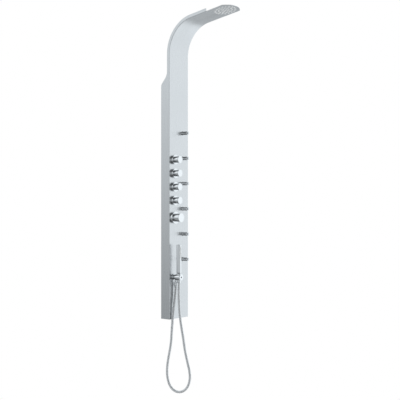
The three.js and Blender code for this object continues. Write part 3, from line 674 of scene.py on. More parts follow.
# ---- the folded column ----------------------------------------------------------------------------
@dataclass
class ColumnSheet(Assembly):
    """The folded sheet, which is a channel, then a bend, then the head's flat plate, and its neck cover."""

    half_width: float = 70 * MM
    depth: float = 55 * MM
    sheet: float = 1.5 * MM
    fold: float = 1.5 * MM
    neck_depth: float = 16 * MM
    shoulder: tuple[float, float] = (1150 * MM, 1222 * MM)
    shoulder_ease: tuple[float, float] = (22 * MM, 37 * MM)
    bend_start: float = 1306 * MM
    bend_radius: float = 160 * MM
    head_rise: float = math.radians(8.8)
    neck_reach: float = 161 * MM
    flange_stop: float = 60 * MM
    end_shoulder: float = 33 * MM
    end_reach: float = 62 * MM
    end_corner: float = 5 * MM
    plate_edge: float = 0.35 * MM
    cover_behind: float = 14.4 * MM
    cover_sheet: float = 1 * MM
    cover_low: float = 1240 * MM
    cover_stop: float = 96 * MM
    gap: float = 0.3 * MM

    @property
    def bend_angle(self) -> float:
        """How far the sheet turns from upright."""
        return math.pi / 2 - self.head_rise

    @property
    def head_centre(self) -> float:
        """Length along the face from the column's foot to the rain head's centre."""
        return self.bend_start + self.bend_radius * self.bend_angle + self.neck_reach

    def side(self, along: Array, behind: Array | float) -> tuple[Array, Array]:
        """Y and Z of points in the side view.

        Upright below the bend. In the bend centre + (radius + behind) * (cos a, sin a), with a the length
        past the bend's start over its radius. Beyond it the same with a at its full value, moved along the
        head.
        """
        angle = np.clip((along - self.bend_start) / self.bend_radius, 0, self.bend_angle)
        beyond = np.clip(along - self.bend_start - self.bend_radius * self.bend_angle, 0, None)
        radius = self.bend_radius + behind
        y = -self.depth - self.bend_radius + radius * np.cos(angle) - beyond * math.cos(self.head_rise)
        z = np.minimum(along, self.bend_start) + radius * np.sin(angle) + beyond * math.sin(self.head_rise)
        return y, z + COLUMN_FOOT

    def surface(self, along: Array, across: Array, behind: Array) -> Array:
        """Points from length along the face, distance across and distance behind it, broadcast together."""
        along, across, behind = np.broadcast_arrays(along, across, behind)
        y, z = self.side(along, behind)
        return np.stack([across, y, z], axis=-1)

    def flange_depth(self, along: Array) -> Array:
        """Depth of the side flanges: full below the shoulder, then a cubic Bezier to the neck's depth."""
        t = np.linspace(0, 1, 200)
        low, high = self.shoulder
        heights = [low, low + self.shoulder_ease[0], high - self.shoulder_ease[1], high]
        depths = [self.depth, self.depth, self.neck_depth, self.neck_depth]
        blend = [(1 - t) ** 3, 3 * t * (1 - t) ** 2, 3 * t ** 2 * (1 - t), t ** 3]
        curve_height = sum(w * h for w, h in zip(blend, heights))
        curve_depth = sum(w * d for w, d in zip(blend, depths))
        return np.interp(along, curve_height, curve_depth)

    def folded(self, along: Array, half: Array, depth: Array, fold: float) -> Shell:
        """A length of folded sheet.

        Across the sheet the outer line runs down one flange, round a quarter circle of radius `fold`, over
        the face and up the other flange. The inner line is the same one sheet thickness further in. The two
        lines joined end to end make a closed section, carried along the face.
        """
        t = np.linspace(0, 1, 9)
        flange = np.linspace(1, 0, 7)[:-1]
        face = np.linspace(0, 1, 20)[1:-1]
        arc = t * np.pi / 2

        def line(inset: float) -> tuple[Array, Array]:
            corner = max(fold - inset, 0.0)
            edge = half[:, None] - inset
            top = depth[:, None]
            start = np.minimum(inset + corner, top)
            left_x = np.concatenate([-edge + 0 * flange, -edge + corner * (1 - np.cos(arc))], axis=1)
            left_d = np.concatenate([start + (top - start) * flange, start - corner * np.sin(arc)], axis=1)
            middle_x = (-edge + corner) + 2 * (edge - corner) * face
            middle_d = inset + 0 * middle_x
            x = np.concatenate([left_x, middle_x, -left_x[:, ::-1]], axis=1)
            return x, np.concatenate([left_d, middle_d, left_d[:, ::-1]], axis=1)

        outer_x, outer_d = line(0.0)
        inner_x, inner_d = line(self.sheet)
        x = np.concatenate([outer_x, inner_x[:, ::-1]], axis=1)
        d = np.concatenate([outer_d, inner_d[:, ::-1]], axis=1)
        points = self.surface(along[:, None], x, d)
        steps = [np.abs(np.diff(values, axis=1, prepend=values[:, :1])) for values in (x, d)]
        girth = np.cumsum(steps[0] + steps[1], axis=1)
        places = np.stack(np.broadcast_arrays(girth, along[:, None]), axis=-1)
        tube = grid_shell(points, places, wrap_columns=True)
        count = outer_x.shape[1]
        columns = points.shape[1]
        first = np.arange(count - 1)
        strip = np.stack([first, columns - 1 - first, columns - 2 - first, first + 1], axis=-1)
        last = strip[:, ::-1] + (len(along) - 1) * columns
        return Shell(tube.points, np.concatenate([tube.faces, strip, last]), tube.places)

    def end_outline(self) -> tuple[Array, Array]:
        """The head's end: distance past its centre and half width.

        A shallow arc of radius R runs through both shoulders and the furthest point: R sin a from the middle
        line, it stops R (1 - cos a) short of that point. A parabola eases the corner at the shoulder.
        """
        sagitta = self.end_reach - self.end_shoulder
        radius = (self.half_width ** 2 + sagitta ** 2) / (2 * sagitta)
        spread = math.asin(self.half_width / radius) - self.end_corner / radius
        turn = np.linspace(spread, 0, 40)
        arc_past, arc_half = self.end_reach - radius * (1 - np.cos(turn)), radius * np.sin(turn)
        t = np.linspace(0, 1, 8)[:-1]
        blend = [(1 - t) ** 2, 2 * t * (1 - t), t ** 2]
        pasts = (self.end_shoulder - self.end_corner, self.end_shoulder, arc_past[0])
        halves = (self.half_width, self.half_width, arc_half[0])
        corner_past = sum(weight * past for weight, past in zip(blend, pasts))
        corner_half = sum(weight * half for weight, half in zip(blend, halves))
        return np.concatenate([corner_past, arc_past]), np.concatenate([corner_half, arc_half])

    def build(self) -> None:
        """Makes the sheet and the neck cover."""
        stop = self.head_centre - self.flange_stop
        bend_end = self.head_centre - self.neck_reach
        channel = np.unique(np.concatenate([
            np.linspace(0, self.shoulder[0], 20), np.linspace(*self.shoulder, 33),
            np.linspace(self.shoulder[1], self.bend_start, 5), np.linspace(self.bend_start, bend_end, 65),
            np.linspace(bend_end, stop, 6)]).round(7))
        whole = np.full(len(channel), self.half_width)
        neck = self.folded(channel, whole, self.flange_depth(channel), self.fold)
        past, half = self.end_outline()
        straight = np.linspace(stop, self.head_centre + past[0], 8)[:-1]
        plate = np.concatenate([straight, self.head_centre + past])
        narrowest = 2.2 * self.sheet
        half = np.concatenate([np.full(len(straight), self.half_width), np.maximum(half, narrowest)])
        end = self.folded(plate, half, np.full(len(plate), self.sheet), self.plate_edge)
        self.piece("column_sheet", [neck, end], STEEL, ["column_shell"], sharp=50.0)
        self.cover()
        self.dress("bottom_cap", STEEL_CAD)

    def cover(self) -> None:
        """The strip that closes the back of the neck: a rectangular section carried along the path."""
        edge = self.half_width - self.sheet - self.gap
        near, far = self.cover_behind, self.cover_behind + self.cover_sheet
        lip = 0.25 * MM
        x = np.array([-edge, -edge + lip, edge - lip, edge, edge, edge - lip, -edge + lip, -edge])
        d = np.array([near + lip, near, near, near + lip, far - lip, far, far, far - lip])
        bend = np.linspace(self.bend_start, self.head_centre - self.neck_reach, 61)
        along = np.concatenate([[self.cover_low], bend, [self.head_centre - self.cover_stop]])
        points = self.surface(along[:, None], x[None], d[None])
        ends = [np.broadcast_to(points[k].mean(axis=0), (1, len(x), 3)) for k in (0, -1)]
        points = np.concatenate([ends[0], points, ends[1]])
        rows = np.concatenate([along[:1], along, along[-1:]])
        places = np.stack(np.broadcast_arrays(x[None] + d[None], rows[:, None]), axis=-1)
        strip = grid_shell(points, places, wrap_columns=True)
        self.piece("neck_cover_strip", [strip], STEEL, ["neck_cover"])


# ---- the rain head --------------------------------------------------------------------------------
@dataclass
class RainHead(Assembly):
    """Silicone nozzles under the head's plate, and the lid and elbow that feed them from above.

    Sizes are in millimetres, apart from the step between rings.
    """

    column: ColumnSheet
    ring_step: float = 16 * MM
    rings: int = 3
    per_ring: int = 6
    nozzle_pad: float = 5.0
    nozzle_foot: float = 4.4
    nozzle_tip: float = 2.6
    nozzle_out: float = 3.2
    outlet: float = 1.0
    outlet_deep: float = 0.7
    lid: float = 55.5
    lid_flange: float = 58.5
    lid_hole: float = 4.0
    lid_behind: float = 6.0
    lid_sheet: float = 1.2
    elbow: float = 11.0
    elbow_height: float = 11.5

    def on_head(self, across: float, along: float) -> Array:
        """The point of the head's face at distances across and along from the head's centre."""
        return self.column.surface(np.array(self.column.head_centre + along), np.array(across), np.array(0.0))

    @property
    def down(self) -> Array:
        """The direction that the head faces."""
        rise = self.column.head_rise
        return np.array([0.0, -math.sin(rise), -math.cos(rise)])

    def nozzle_places(self) -> list[tuple[float, float]]:
        """The centre, then rings of 6, 12 and 18 at equal steps."""
        places = [(0.0, 0.0)]
        for ring in range(1, self.rings + 1):
            angles = np.arange(ring * self.per_ring) * 2 * np.pi / (ring * self.per_ring)
            radius = ring * self.ring_step
            places += list(zip(radius * np.cos(angles), radius * np.sin(angles)))
        return places

    def build(self) -> None:
        """Makes the nozzles, the lid and the elbow."""
        pad, out, floor = self.nozzle_pad, self.nozzle_out, self.nozzle_out - self.outlet_deep
        nub = rounded([(0, -1), (pad, -1), (pad, 0.4), (self.nozzle_foot, 1.0), (self.nozzle_tip, out),
                       (self.outlet, out), (self.outlet - 0.2, floor), (0, floor)], 0.4, steps=3)
        shells = [turned(nub, self.on_head(x, u), self.down, sides=14) for x, u in self.nozzle_places()]
        self.piece("rain_nozzles", shells, SILICONE, ["nozzle_mat"])
        seat, top = -(self.column.sheet + self.column.gap) / MM, -self.lid_behind
        inside, under = self.lid - self.lid_sheet, top + self.lid_sheet
        lid = rounded_loop([
            (inside, seat), (self.lid_flange, seat), (self.lid_flange, seat - self.lid_sheet),
            (self.lid, seat - self.lid_sheet), (self.lid, top), (self.lid_hole, top), (self.lid_hole, under),
            (inside, under),
        ], 0.5)
        middle = self.on_head(0, 0)
        self.piece("rain_head_lid", [turned(lid, middle, self.down, sides=96)], STEEL_CAD,
                   ["head_lid"])
        near = top - CLEARANCE
        elbow = drum(self.elbow, near, near - self.elbow_height, 2.2)
        self.piece("rain_head_elbow", [turned(elbow, middle, self.down)], CHROME, ["head_elbow"])


# ---- the controls ---------------------------------------------------------------------------------
@dataclass
class Control(Assembly):
    """One turning control: a rose on the face and a drum-shaped knob on its spindle. Sizes in millimetres."""

    label: str
    rose_bore_gap: float = 1.0
    groove_behind: float = 2.9
    rim: float = 2.6
    dish: float = 0.3

    def build(self) -> None:
        """Makes the rose and the knob to the sizes of their CAD nodes."""
        rose_node, spindle_node, knob_node = (f"{self.label}_{part}" for part in ("rose", "spindle", "knob"))
        centre = face_centre(rose_node)
        spindle = node_size(spindle_node)[0] / 2
        radius, hole = node_size(rose_node)[0] / 2, spindle + self.rose_bore_gap
        front = (FACE_Y - node_box(rose_node)[0][1]) / MM
        rose = rounded_loop([(hole, CLEARANCE), (radius, CLEARANCE), (radius, front), (hole, front)],
                            [0.2, 0.4, 1.0, 0.3])
        self.piece(f"{self.label}_rose_shell", [turned(rose, centre, sides=72)], CHROME, [rose_node])
        low, high = node_box(knob_node)
        radius, back, out = (high[0] - low[0]) / 2 / MM, (FACE_Y - high[1]) / MM, (FACE_Y - low[1]) / MM
        socket = (FACE_Y - node_box(spindle_node)[0][1]) / MM + CLEARANCE
        bore, face = spindle + CLEARANCE, out - self.dish
        knob = rounded([
            (0, socket), (bore, socket), (bore, back), (radius, back),
            *groove(radius, out - self.groove_behind), (radius, out),
            (radius - self.rim, out), (radius - self.rim - 0.6, face), (0, face),
        ], [0, 0.2, 0.8, 0.2, 0.2, 0.2, 0.2, 0.8, 0.4, 0.3], steps=6)
        self.piece(f"{self.label}_handle", [turned(knob, centre, sides=72)], CHROME, [knob_node],
                   body=f"{self.label}_control")
        self.dress(spindle_node, BRASS)
        self.dress(f"{self.label}_cartridge", PLASTIC)


# ---- the body jets --------------------------------------------------------------------------------
@dataclass
class BodyJet(Assembly):
    """One body jet: a flanged barrel through the face and a swivelling ball nozzle. Sizes in millimetres."""

    label: str
    passage: float = 3.5
    tail: float = 7.0
    tail_behind: float = 12.0
    flange: float = 11.0
    flange_out: float = 2.6
    barrel: float = 9.4
    barrel_out: float = 29.5
    mouth: float = 7.1
    seat: float = 7.9
    throat: float = 7.4
    ball: float = 7.3
    ball_out: float = 26.0
    ball_cut: float = 0.93
    outlet: float = 2.2
    outlet_floor: float = 1.9
    outlet_deep: float = 0.35

    def build(self) -> None:
        """Makes the barrel and the ball, which is cut flat at `ball_cut` of its radius."""
        housing = f"{self.label}_housing"
        centre = face_centre(housing)
        behind, out = -self.tail_behind, self.barrel_out
        barrel = rounded_loop([
            (self.passage, behind), (self.tail, behind), (self.tail, CLEARANCE), (self.flange, CLEARANCE),
            (self.flange, self.flange_out), (self.barrel, self.flange_out + 0.5), (self.barrel, out),
            (self.mouth, out), (self.seat, self.ball_out), (self.throat, self.ball_out - 3),
            (self.passage, self.ball_out - 8),
        ], [0.3, 0.5, 0.2, 0.3, 0.9, 0.8, 0.8, 0.4, 1, 1, 0.5])
        self.piece(f"{self.label}_barrel", [turned(barrel, centre)], CHROME, [housing])
        angle = np.linspace(-np.pi / 2, np.arcsin(self.ball_cut), 22)
        arc = np.stack([self.ball * np.cos(angle), self.ball_out + self.ball * np.sin(angle)], axis=1) * MM
        arc[0, 0] = 0.0
        face = self.ball_out + self.ball * self.ball_cut
        floor = face - self.outlet_deep
        flat = np.array([[self.outlet, face], [self.outlet_floor, floor], [0.0, floor]]) * MM
        self.piece(f"{self.label}_ball", [turned(np.concatenate([arc, flat]), centre)], CHROME,
                   [f"{self.label}_nozzle"], body=f"{self.label}_swivel")


# ---- the holder and the hand shower ---------------------------------------------------------------
@dataclass
class Holder(Assembly):
    """The arm that carries the hand shower: a root on the face, a barrel with an upright bore, and its cap.

    Sizes are in millimetres; those called out are counted from the column's face.
    """

    bore_top: float = 11.7
    bore_foot: float = 10.1
    flange: float = 15.5
    flange_out: float = 2.6
    root: float = 13.0
    root_out: float = 17.0
    collar: float = 12.2
    barrel: float = 16.0
    barrel_out: float = 46.0
    cradle_out: float = 32.5
    outlet: float = 6.0
    outlet_out: float = 12.0
    outlet_down: float = 25.0
    cap: float = 14.0
    cap_bore: float = 3.9
    cap_out: float = 48.5

    def barrel_shell(self, centre: Array) -> Shell:
        """The lying barrel with an upright tapered bore.

        Its upper half is a sheet between two loops: the bore's circle and the barrel's outline, both written
        as angle round the barrel and distance out, and joined by straight lines. The lower half mirrors it
        with the bore's smaller radius, and a strip joins the two circles. The barrel's two ends stay open and
        are covered by the drums that build() sets in them.
        """
        rows, columns = 14, 96
        angle = np.arange(columns) * 2 * np.pi / columns
        t = np.linspace(0, 1, rows)[:, None]
        near, far = self.root_out - self.cradle_out, self.barrel_out - self.cradle_out
        c, s = np.cos(angle), np.sin(angle)
        reach = 1 / np.maximum(np.abs(c), np.abs(s))
        edge_turn = np.clip(c * reach, -1, 1) * np.pi / 2
        edge_out = np.where(s > 0, s * far, -s * near) * reach

        def half(bore: float, sign: float) -> Array:
            inner_turn = np.arcsin(bore * c / self.barrel)
            turn = inner_turn + (edge_turn - inner_turn) * t
            out = bore * s + (edge_out - bore * s) * t
            across, up = self.barrel * np.sin(turn), sign * self.barrel * np.cos(turn)
            return np.stack([across, -(out + self.cradle_out), up], axis=-1)

        upper, lower = half(self.bore_top, 1.0), half(self.bore_foot, -1.0)
        points = np.concatenate([upper[::-1], lower]) * MM + centre
        return grid_shell(points, wrap_columns=True)

    def build(self) -> None:
        """Makes the arm and its cap, and finishes its screw."""
        centre = face_centre("holder_cap")
        step = self.flange_out + 0.6
        root = rounded([(0, CLEARANCE), (self.flange, CLEARANCE), (self.flange, self.flange_out),
                        (self.root, step), (self.root, self.root_out - 1.5), (0, self.root_out - 1.5)],
                       [0.2, 1, 1, 0.4])
        collar = drum(self.collar, self.root_out - 2, self.root_out + 0.4, 0.2)
        end = self.barrel - 0.02
        front = drum(end, self.barrel_out - 0.4, self.barrel_out + 0.2, 0.1)
        back = drum(end, self.root_out - 0.2, self.root_out + 0.3, 0.1)
        shells = [turned(profile, centre) for profile in (root, collar, front, back)]
        outlet = drum(self.outlet, -self.outlet_down, -2, 0.4)
        below = centre + OUT_OF_FACE * self.outlet_out * MM
        shells += [self.barrel_shell(centre), turned(outlet, below, Z_AXIS)]
        self.piece("holder_body", shells, CHROME, ["holder_arm"])
        near = self.barrel_out + CLEARANCE
        cap = rounded_loop([(self.cap_bore, near), (self.cap, near), (self.cap, self.cap_out),
                            (self.cap_bore, self.cap_out)], [0.3, 0.5, 0.9, 0.7])
        self.piece("holder_end_cap", [turned(cap, centre)], CHROME, ["holder_cap"])
        self.dress("holder_screw", PLASTIC)


@dataclass
class HandShower(Assembly):
    """The stick hand shower with its spray strip, standing in the cradle on the hose's cone nut.

    Sizes are in millimetres.
    """

    body = "hand_shower"
    neck: float = 6.0
    neck_height: float = 16.0
    taper: float = 6.0
    top_rim: float = 2.2
    strip_proud: float = 0.45
    strip_sunk: float = 0.02
    strip_deep: float = 0.8
    nub_rows: tuple[float, ...] = (-0.55, 0.0, 0.55)
    nubs_per_row: int = 12
    nub_margin: float = 4.0

    def build(self) -> None:
        """Makes the stick and the strip."""
        low, high = node_box("hand_shower_body")
        centre = np.array([(low[0] + high[0]) / 2, (low[1] + high[1]) / 2, 0.0])
        radius, foot, top = (high[0] - low[0]) / 2 / MM, low[2] / MM, high[2] / MM
        shoulder, dish = foot + self.neck_height, top - 0.3
        profile = rounded([
            (0, foot), (self.neck, foot), (self.neck, shoulder), (radius - 1, shoulder),
            (radius, shoulder + self.taper), (radius, top), (radius - self.top_rim, top),
            (radius - self.top_rim - 0.2, dish), (0, dish),
        ], [0.3, 0.3, 0.6, 3, 1.3, 0.2, 0.2])
        stick = turned(profile, centre, Z_AXIS, 64)
        self.piece("hand_shower_stick", [stick], CHROME, ["hand_shower_body"])
        self.strip(centre, radius)

    def strip(self, centre: Array, radius: float) -> None:
        """The silicone strip: a patch of a cylinder slightly larger than the stick, with three rows of nubs.

        The patch is a grid of angle round the stick and height, raised by a pillow (1 - u^8)(1 - v^30), with
        its mirror image just under the stick's surface to close it.
        """
        low, high = node_box("spray_strip")
        half = math.asin((high[0] - low[0]) / 2 / (radius * MM))
        u, v = np.meshgrid(np.linspace(-1, 1, 13), np.linspace(-1, 1, 41), indexing="xy")
        angle, height = u * half, (low[2] + high[2]) / 2 + v * (high[2] - low[2]) / 2

        def sheet(size: Array) -> Array:
            around = [centre[0] + size * np.sin(angle), centre[1] - size * np.cos(angle)]
            return np.stack([*around, height], axis=-1).reshape(-1, 3)

        pillow = self.strip_proud * (1 - u ** 8) * (1 - v ** 30)
        outer = sheet((radius + pillow - self.strip_sunk) * MM)
        inner = sheet(np.full_like(u, (radius - self.strip_deep) * MM))
        faces = grid_faces(*u.shape)
        grid = np.arange(u.size).reshape(u.shape)
        rim = np.concatenate([grid[0, :], grid[1:, -1], grid[-1, -2::-1], grid[-2:0:-1, 0]])
        after = np.roll(rim, -1)
        wall = np.stack([rim, rim + u.size, after + u.size, after], axis=-1)
        places = np.stack([angle, height], -1).reshape(-1, 2)
        pad = Shell(np.concatenate([outer, inner]), np.concatenate([faces, faces[:, ::-1] + u.size, wall]),
                    np.concatenate([places, places]))
        nub = rounded([(0, -0.3), (0.75, -0.3), (0.55, 0.6), (0, 0.6)], 0.15, steps=3)
        margin = self.nub_margin * MM
        heights = np.linspace(low[2] + margin, high[2] - margin, self.nubs_per_row)
        nubs = []
        for row in self.nub_rows:
            out = self.facing(row * half)
            foot = centre + out * (radius + 0.3) * MM
            nubs += [turned(nub, foot + Z_AXIS * z, out, sides=8) for z in heights]
        self.piece("spray_strip_pad", [pad, *nubs], SILICONE, ["spray_strip"])

    @staticmethod
    def facing(angle: float) -> Array:
        """The direction at an angle round the stick, 0 being out of the face."""
        return np.array([math.sin(angle), -math.cos(angle), 0.0])


# ---- the hose -------------------------------------------------------------------------------------
@dataclass
class ShowerHose(Assembly):
    """The hose from the holder's outlet, below the column and up to the hand shower, with its two nuts."""

    holder_x: float = -36.0
    holder_height: float = 208.0
    radius: float = 6.5 * MM
    pitch: float = 2.4 * MM
    groove: float = 0.45 * MM
    rows_per_turn: int = 5
    sides: int = 18
    route: tuple[tuple[float, float, float], ...] = (
        (0, 12, -51.5), (0, 12, -62), (-1.6, 11.3, -82), (-5, 10.4, -106), (-10, 10, -138), (-14.5, 9, -172),
        (-19, 8, -208), (-22, 6.5, -250), (-24, 3.5, -308), (-25.3, -2, -350), (-26, -11, -390),
        (-26, -19, -430), (-25, -23, -466), (-22.8, -21.5, -498), (-19.5, -11, -532), (-14.5, 10, -555),
        (-8, 40, -562), (-1.5, 69, -551), (4, 89, -526), (7.5, 97, -493), (9, 93, -454), (9, 82, -418),
        (8, 66, -360), (6, 53.5, -288), (3.5, 43, -230), (1.5, 36, -174), (0.4, 33, -124), (0, 32.5, -78),
        (0, 32.5, -28.3),
    )

    def route_points(self) -> Array:
        """The route in the frame, its points being across, out and up from the holder's place on the face."""
        across, out, rise = (np.array(self.route) * MM).T
        return np.stack([self.holder_x * MM + across, FACE_Y - out,
                         COLUMN_FOOT + self.holder_height * MM + rise], axis=1)

    def build(self) -> None:
        nuts = [self.wall_nut(), self.cone_nut()]
        line = spline(self.route_points(), 480)
        length = path_length(line)
        rows = int(length / self.pitch * self.rows_per_turn)
        s = np.linspace(0, length, rows)
        radii = self.radius - self.groove * (0.5 + 0.5 * np.cos(2 * np.pi * s / self.pitch)) ** 2
        straight = np.stack([0 * s, 0 * s, s], axis=1)
        hose = self.piece("hose_tube", [tube_shell(straight, radii, self.sides)], HOSE, ["hose"],
                          ride=False, sharp=180.0)
        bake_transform(hose)
        self.lay(hose, spline(self.route_points(), rows), s)

    def lay(self, hose: bpy.types.Object, centres: Array, s: Array) -> None:
        """Carries the straight tube's points on to the route.

        A point at height h, and at (x, y) from the straight tube's axis, goes to centre(h) + x n(h) + y b(h),
        where n is the X axis made square to the route and b is square to both.
        """
        mesh = hose.data
        flat = np.zeros(len(mesh.vertices) * 3, np.float32)
        mesh.vertices.foreach_get("co", flat)
        x, y, h = flat.reshape(-1, 3).astype(float).T

        def at_height(values: Array) -> Array:
            return np.stack([np.interp(h, s, values[:, k]) for k in range(3)], axis=1)

        n, b = square_to(centres)
        laid = at_height(centres) + x[:, None] * at_height(n) + y[:, None] * at_height(b)
        mesh.vertices.foreach_set("co", laid.astype(np.float32).reshape(-1))
        mesh.update()

    def wall_nut(self) -> bpy.types.Object:
        """The union nut under the outlet, with a plain collar and a grooved grip."""
        width, _, tall = node_size("hose_nut")
        radius, collar = width / 2, 7.4
        profile = rounded([
            (0, 0), (collar, 0), (collar, 6), (radius, 8.5), *groove(radius, tall - 6.3), (radius, tall),
            (0, tall),
        ], [0.8, 0.8, 1, 0.3, 0.2, 0.2, 0.3, 0.8])
        nut = turned(profile, foot_centre("hose_nut"), Z_AXIS)
        return self.piece("hose_union_nut", [nut], CHROME, ["hose_nut"])

    def cone_nut(self) -> bpy.types.Object:
        """The tapered nut that sits in the cradle, with a shallow recess in its head."""
        width, _, tall = node_size("cone_nut")
        foot, head, recess, floor = 9.4, width / 2, 6.3, tall - 1
        profile = rounded([
            (0, 0), (foot - 1.2, 0), (foot, 1.6), (head, tall), (recess, tall), (recess, floor), (0, floor),
        ], [0.6, 0.8, 0.5, 0.3, 0.2])
        nut = turned(profile, foot_centre("cone_nut"), Z_AXIS)
        return self.piece("hose_cone_nut", [nut], CHROME, ["cone_nut"], body="hand_shower")


# ---- inside the column ----------------------------------------------------------------------------
@dataclass
class Pipework(Assembly):
    """Pipes, manifold and brackets in the column's open back."""

    column: ColumnSheet
    pipe: float = 4.5 * MM
    manifold_y: float = -22 * MM
    neck_behind: float = 9.3 * MM
    elbow_behind: float = 12.05 * MM
    neck_heights: tuple[float, float] = (1266 * MM, 1306 * MM)
    elbow_short: tuple[float, ...] = (68 * MM, 40 * MM, 4.3 * MM)

    def build(self) -> None:
        """Makes the smooth pipes and finishes the CAD nodes that stay."""
        self.riser()
        profile = drum(8, 0, node_size("jet_pipe")[2], 1.5)
        pipe = turned(profile, foot_centre("jet_pipe"), Z_AXIS, 32)
        self.piece("jet_supply_pipe", [pipe], BRASS, ["jet_pipe"])
        for node in ("hot_inlet", "cold_inlet"):
            nipple = self.threaded(foot_centre(node), node_size(node)[2])
            self.piece(f"{node}_nipple", [nipple], BRASS, [node])
        for node in ("jet_feed", "hand_feed"):
            self.dress(node, CHROME)
        self.dress("valve_manifold", BRASS)
        for node in ("upper_wall_bracket", "lower_wall_bracket", "upper_hanger_bar", "lower_hanger_bar"):
            self.dress(node, ZINC)

    @staticmethod
    def threaded(centre: Array, tall: float) -> Shell:
        """A nipple whose lower two thirds are ringed like a thread, the radius a sine of the height."""
        core, crest, pitch, plain = 7.7, 0.3, 1.8, 7.4
        height = np.linspace(0, tall, 100)
        radius = np.where(height < tall * 0.66, core + crest * np.sin(height * 2 * np.pi / pitch), plain)
        radius, height = np.concatenate([[0], radius, [0]]), np.concatenate([[0], height, [tall]])
        return turned(np.stack([radius, height], axis=1) * MM, centre, Z_AXIS, 32)

    def riser(self) -> None:
        """The pipe from the manifold up the neck to the rain head's elbow."""
        column = self.column
        low, high = node_box("valve_manifold")
        x, top = (low[0] + high[0]) / 2, high[2]
        start, neck_y = top + CLEARANCE * MM, FACE_Y + self.neck_behind
        points = [(x, self.manifold_y, start), (x, self.manifold_y, top + 60 * MM),
                  (x / 2, (self.manifold_y + neck_y) / 2, top + 160 * MM), (0.0, neck_y, start + 270 * MM)]
        points += [(0.0, neck_y, COLUMN_FOOT + height) for height in self.neck_heights]
        bend = column.bend_radius * column.bend_angle
        stretches = [(column.bend_start + bend * k / 6, self.neck_behind) for k in range(1, 7)]
        stretches.append((column.head_centre - column.cover_stop, self.neck_behind))
        stretches += [(column.head_centre - short, self.elbow_behind) for short in self.elbow_short]
        for along, behind in stretches:
            side_y, side_z = column.side(np.array(along), behind)
            points.append((0.0, float(side_y), float(side_z)))
        centres = spline(points, int(path_length(np.array(points)) / (3 * MM)))
        tube = tube_shell(centres, np.full(len(centres), self.pipe), 24)
        self.piece("riser_tube", [tube], CHROME, ["riser_pipe"])


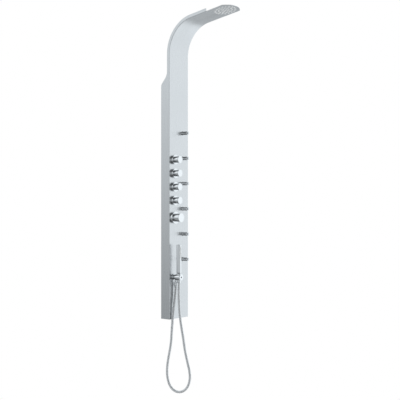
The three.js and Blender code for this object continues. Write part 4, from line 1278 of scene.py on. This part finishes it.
# ---- the studio -----------------------------------------------------------------------------------
@dataclass
class Studio:
    """Camera, pale floor, white surround and soft light."""

    azimuth: float = math.radians(-50)
    distance: float = 4.02
    sideways: float = 0.1477
    eye_height: float = 0.588
    lens: float = 72.0
    floor_z: float = -1.75
    floor_radius: float = 3.4
    wall_radius: float = 40.0
    wall_height: float = 30.0
    light_centre: tuple[float, float, float] = (0.0, -0.1, -0.35)
    light_colour: tuple[float, float, float] = (0.94, 0.975, 1.0)
    surround_colour: tuple[float, float, float, float] = (0.91, 0.965, 1.0, 1.0)

    def camera(self) -> None:
        """A level camera that looks at the column from its left front."""
        forward = np.array([-math.sin(self.azimuth), math.cos(self.azimuth), 0.0])
        right = np.array([math.cos(self.azimuth), math.sin(self.azimuth), 0.0])
        place = -self.distance * forward + self.sideways * right + Z_AXIS * (self.eye_height + COLUMN_FOOT)
        data = bpy.data.cameras.new("camera")
        data.lens = self.lens
        data.sensor_width = 36.0
        data.clip_end = 200.0
        made = bpy.data.objects.new("camera", data)
        made.location = place
        made.rotation_euler = (math.pi / 2, 0, self.azimuth)
        bpy.context.scene.collection.objects.link(made)
        bpy.context.scene.camera = made

    def build(self) -> None:
        """Makes the floor, the surround and the lights."""
        self.surround()
        self.floor()
        self.light("key_softbox", (0.77, -0.64, 0.12), 4.2, (2.6, 3.6), 0.3)
        self.light("side_softbox", (-0.77, 0.62, 0.55), 4.5, (2.2, 2.0), 0.3)
        self.light("top_softbox", (0.1, -0.2, 1.0), 3.4, (2.4, 2.4), 0.4)
        bpy.context.scene.view_settings.view_transform = "Standard"

    def surround(self) -> None:
        """The surroundings, as a brightness for each direction.

        Behind the column it is grey, brighter above the horizon. Before the column it is dark at the left,
        with a lighter band at the horizon and a bright patch overhead, and white at the right.
        """
        world = bpy.data.worlds.new("studio")
        world.use_nodes = True
        bpy.context.scene.world = world
        shader = Shader(world.node_tree)
        direction = shader.coordinate("Generated")

        def towards(x: float, y: float, z: float) -> Wire:
            """The cosine of the angle between the direction looked in and the given one."""
            unit = np.array([x, y, z]) / math.sqrt(x * x + y * y + z * z)
            return shader.node("ShaderNodeVectorMath", {"operation": "DOT_PRODUCT"},
                               {0: direction, 1: tuple(unit)}, output="Value")

        def ramp(value: Wire, start: float, end: float) -> Wire:
            """A smooth step from 0 at `start` to 1 at `end`."""
            return shader.node("ShaderNodeMapRange", {"interpolation_type": "SMOOTHSTEP"},
                               {"Value": value, "From Min": start, "From Max": end})

        height = towards(0, 0, 1)
        front = ramp(towards(0, -1, 0), -0.4, -0.1)
        right = ramp(towards(1, 0, 0), 0.0, 0.65)
        above = ramp(height, -0.24, 0.24)
        band = ramp(height * height, 0.22, 0.0)
        overhead = ramp(towards(0, 0.3, 1), 0.84, 0.97)
        behind = 0.34 + above * 0.6 + right * 0.2
        before = 0.1 + right * 0.97 + (1 - right) * band * 0.42 + overhead * 0.6
        level = behind + (before - behind) * front
        background = shader.node("ShaderNodeBackground", None,
                                 {"Color": self.surround_colour, "Strength": level})
        shader.node("ShaderNodeOutputWorld", None, {"Surface": background})

    def floor(self) -> None:
        """A white disc of floor, and a wide white wall round it that only the camera sees."""
        disc = self.stage_mesh("floor", [0.0, self.floor_radius], [self.floor_z] * 2)
        disc.visible_glossy = False
        low, high = self.floor_z - 0.02, self.wall_height
        wall = self.stage_mesh("white_surround", [0.0, self.wall_radius, self.wall_radius, 0.0],
                               [low, low, high, high])
        wall.visible_diffuse = wall.visible_glossy = wall.visible_transmission = wall.visible_shadow = False

    @staticmethod
    def stage_mesh(name: str, radii: list[float], heights: list[float]) -> bpy.types.Object:
        """A round piece of the studio that glows an even white, from a profile of radii and heights."""
        angle = np.linspace(0, 2 * np.pi, 96, endpoint=False)
        radius, height = np.array(radii)[:, None], np.array(heights)[:, None]
        x, y = radius * np.cos(angle), radius * np.sin(angle)
        points = np.stack(np.broadcast_arrays(x, y, height), axis=-1)
        mesh = bpy.data.meshes.new(name)
        write_mesh(mesh, grid_shell(points, wrap_columns=True))
        material = bpy.data.materials.new(name)
        material.use_nodes = True
        shader = Shader(material.node_tree)
        glow = shader.node("ShaderNodeEmission", None, {"Color": (1.0, 1.0, 1.0, 1.0), "Strength": 1.0})
        shader.node("ShaderNodeOutputMaterial", None, {"Surface": glow})
        mesh.materials.append(material)
        made = bpy.data.objects.new(name, mesh)
        bpy.context.scene.collection.objects.link(made)
        return made

    def light(self, name: str, way: tuple[float, float, float], distance: float, size: tuple[float, float],
              radiance: float) -> None:
        """A rectangular softbox turned towards the column.

        Args:
            name: the light's name.
            way: the direction in which it stands from the middle of the column.
            distance: how far away it stands, in metres.
            size: its width and height, in metres.
            radiance: its power over pi times its area.
        """
        unit = np.array(way) / np.linalg.norm(way)
        data = bpy.data.lights.new(name, "AREA")
        data.shape = "RECTANGLE"
        data.size, data.size_y = size
        data.energy = radiance * math.pi * size[0] * size[1]
        data.color = self.light_colour
        made = bpy.data.objects.new(name, data)
        made.location = unit * distance + np.array(self.light_centre)
        made.rotation_mode = "QUATERNION"
        made.rotation_quaternion = Vector(-unit).to_track_quat("-Z", "Y")
        made.visible_glossy = False
        bpy.context.scene.collection.objects.link(made)


def main() -> None:
    """Builds the camera and the hose, then every sub-assembly."""
    logging.basicConfig(level=logging.INFO, format="%(name)s: %(message)s")
    studio = Studio()
    studio.camera()
    ShowerHose().build()
    column = ColumnSheet()
    column.build()
    RainHead(column).build()
    for number in range(1, 5):
        Control(f"valve_{number}").build()
    Control("thermostat").build()
    for number in range(1, 7):
        BodyJet(f"jet_{number}").build()
    Holder().build()
    HandShower().build()
    Pipework(column).build()
    studio.build()


if __name__ == "__main__":
    main()
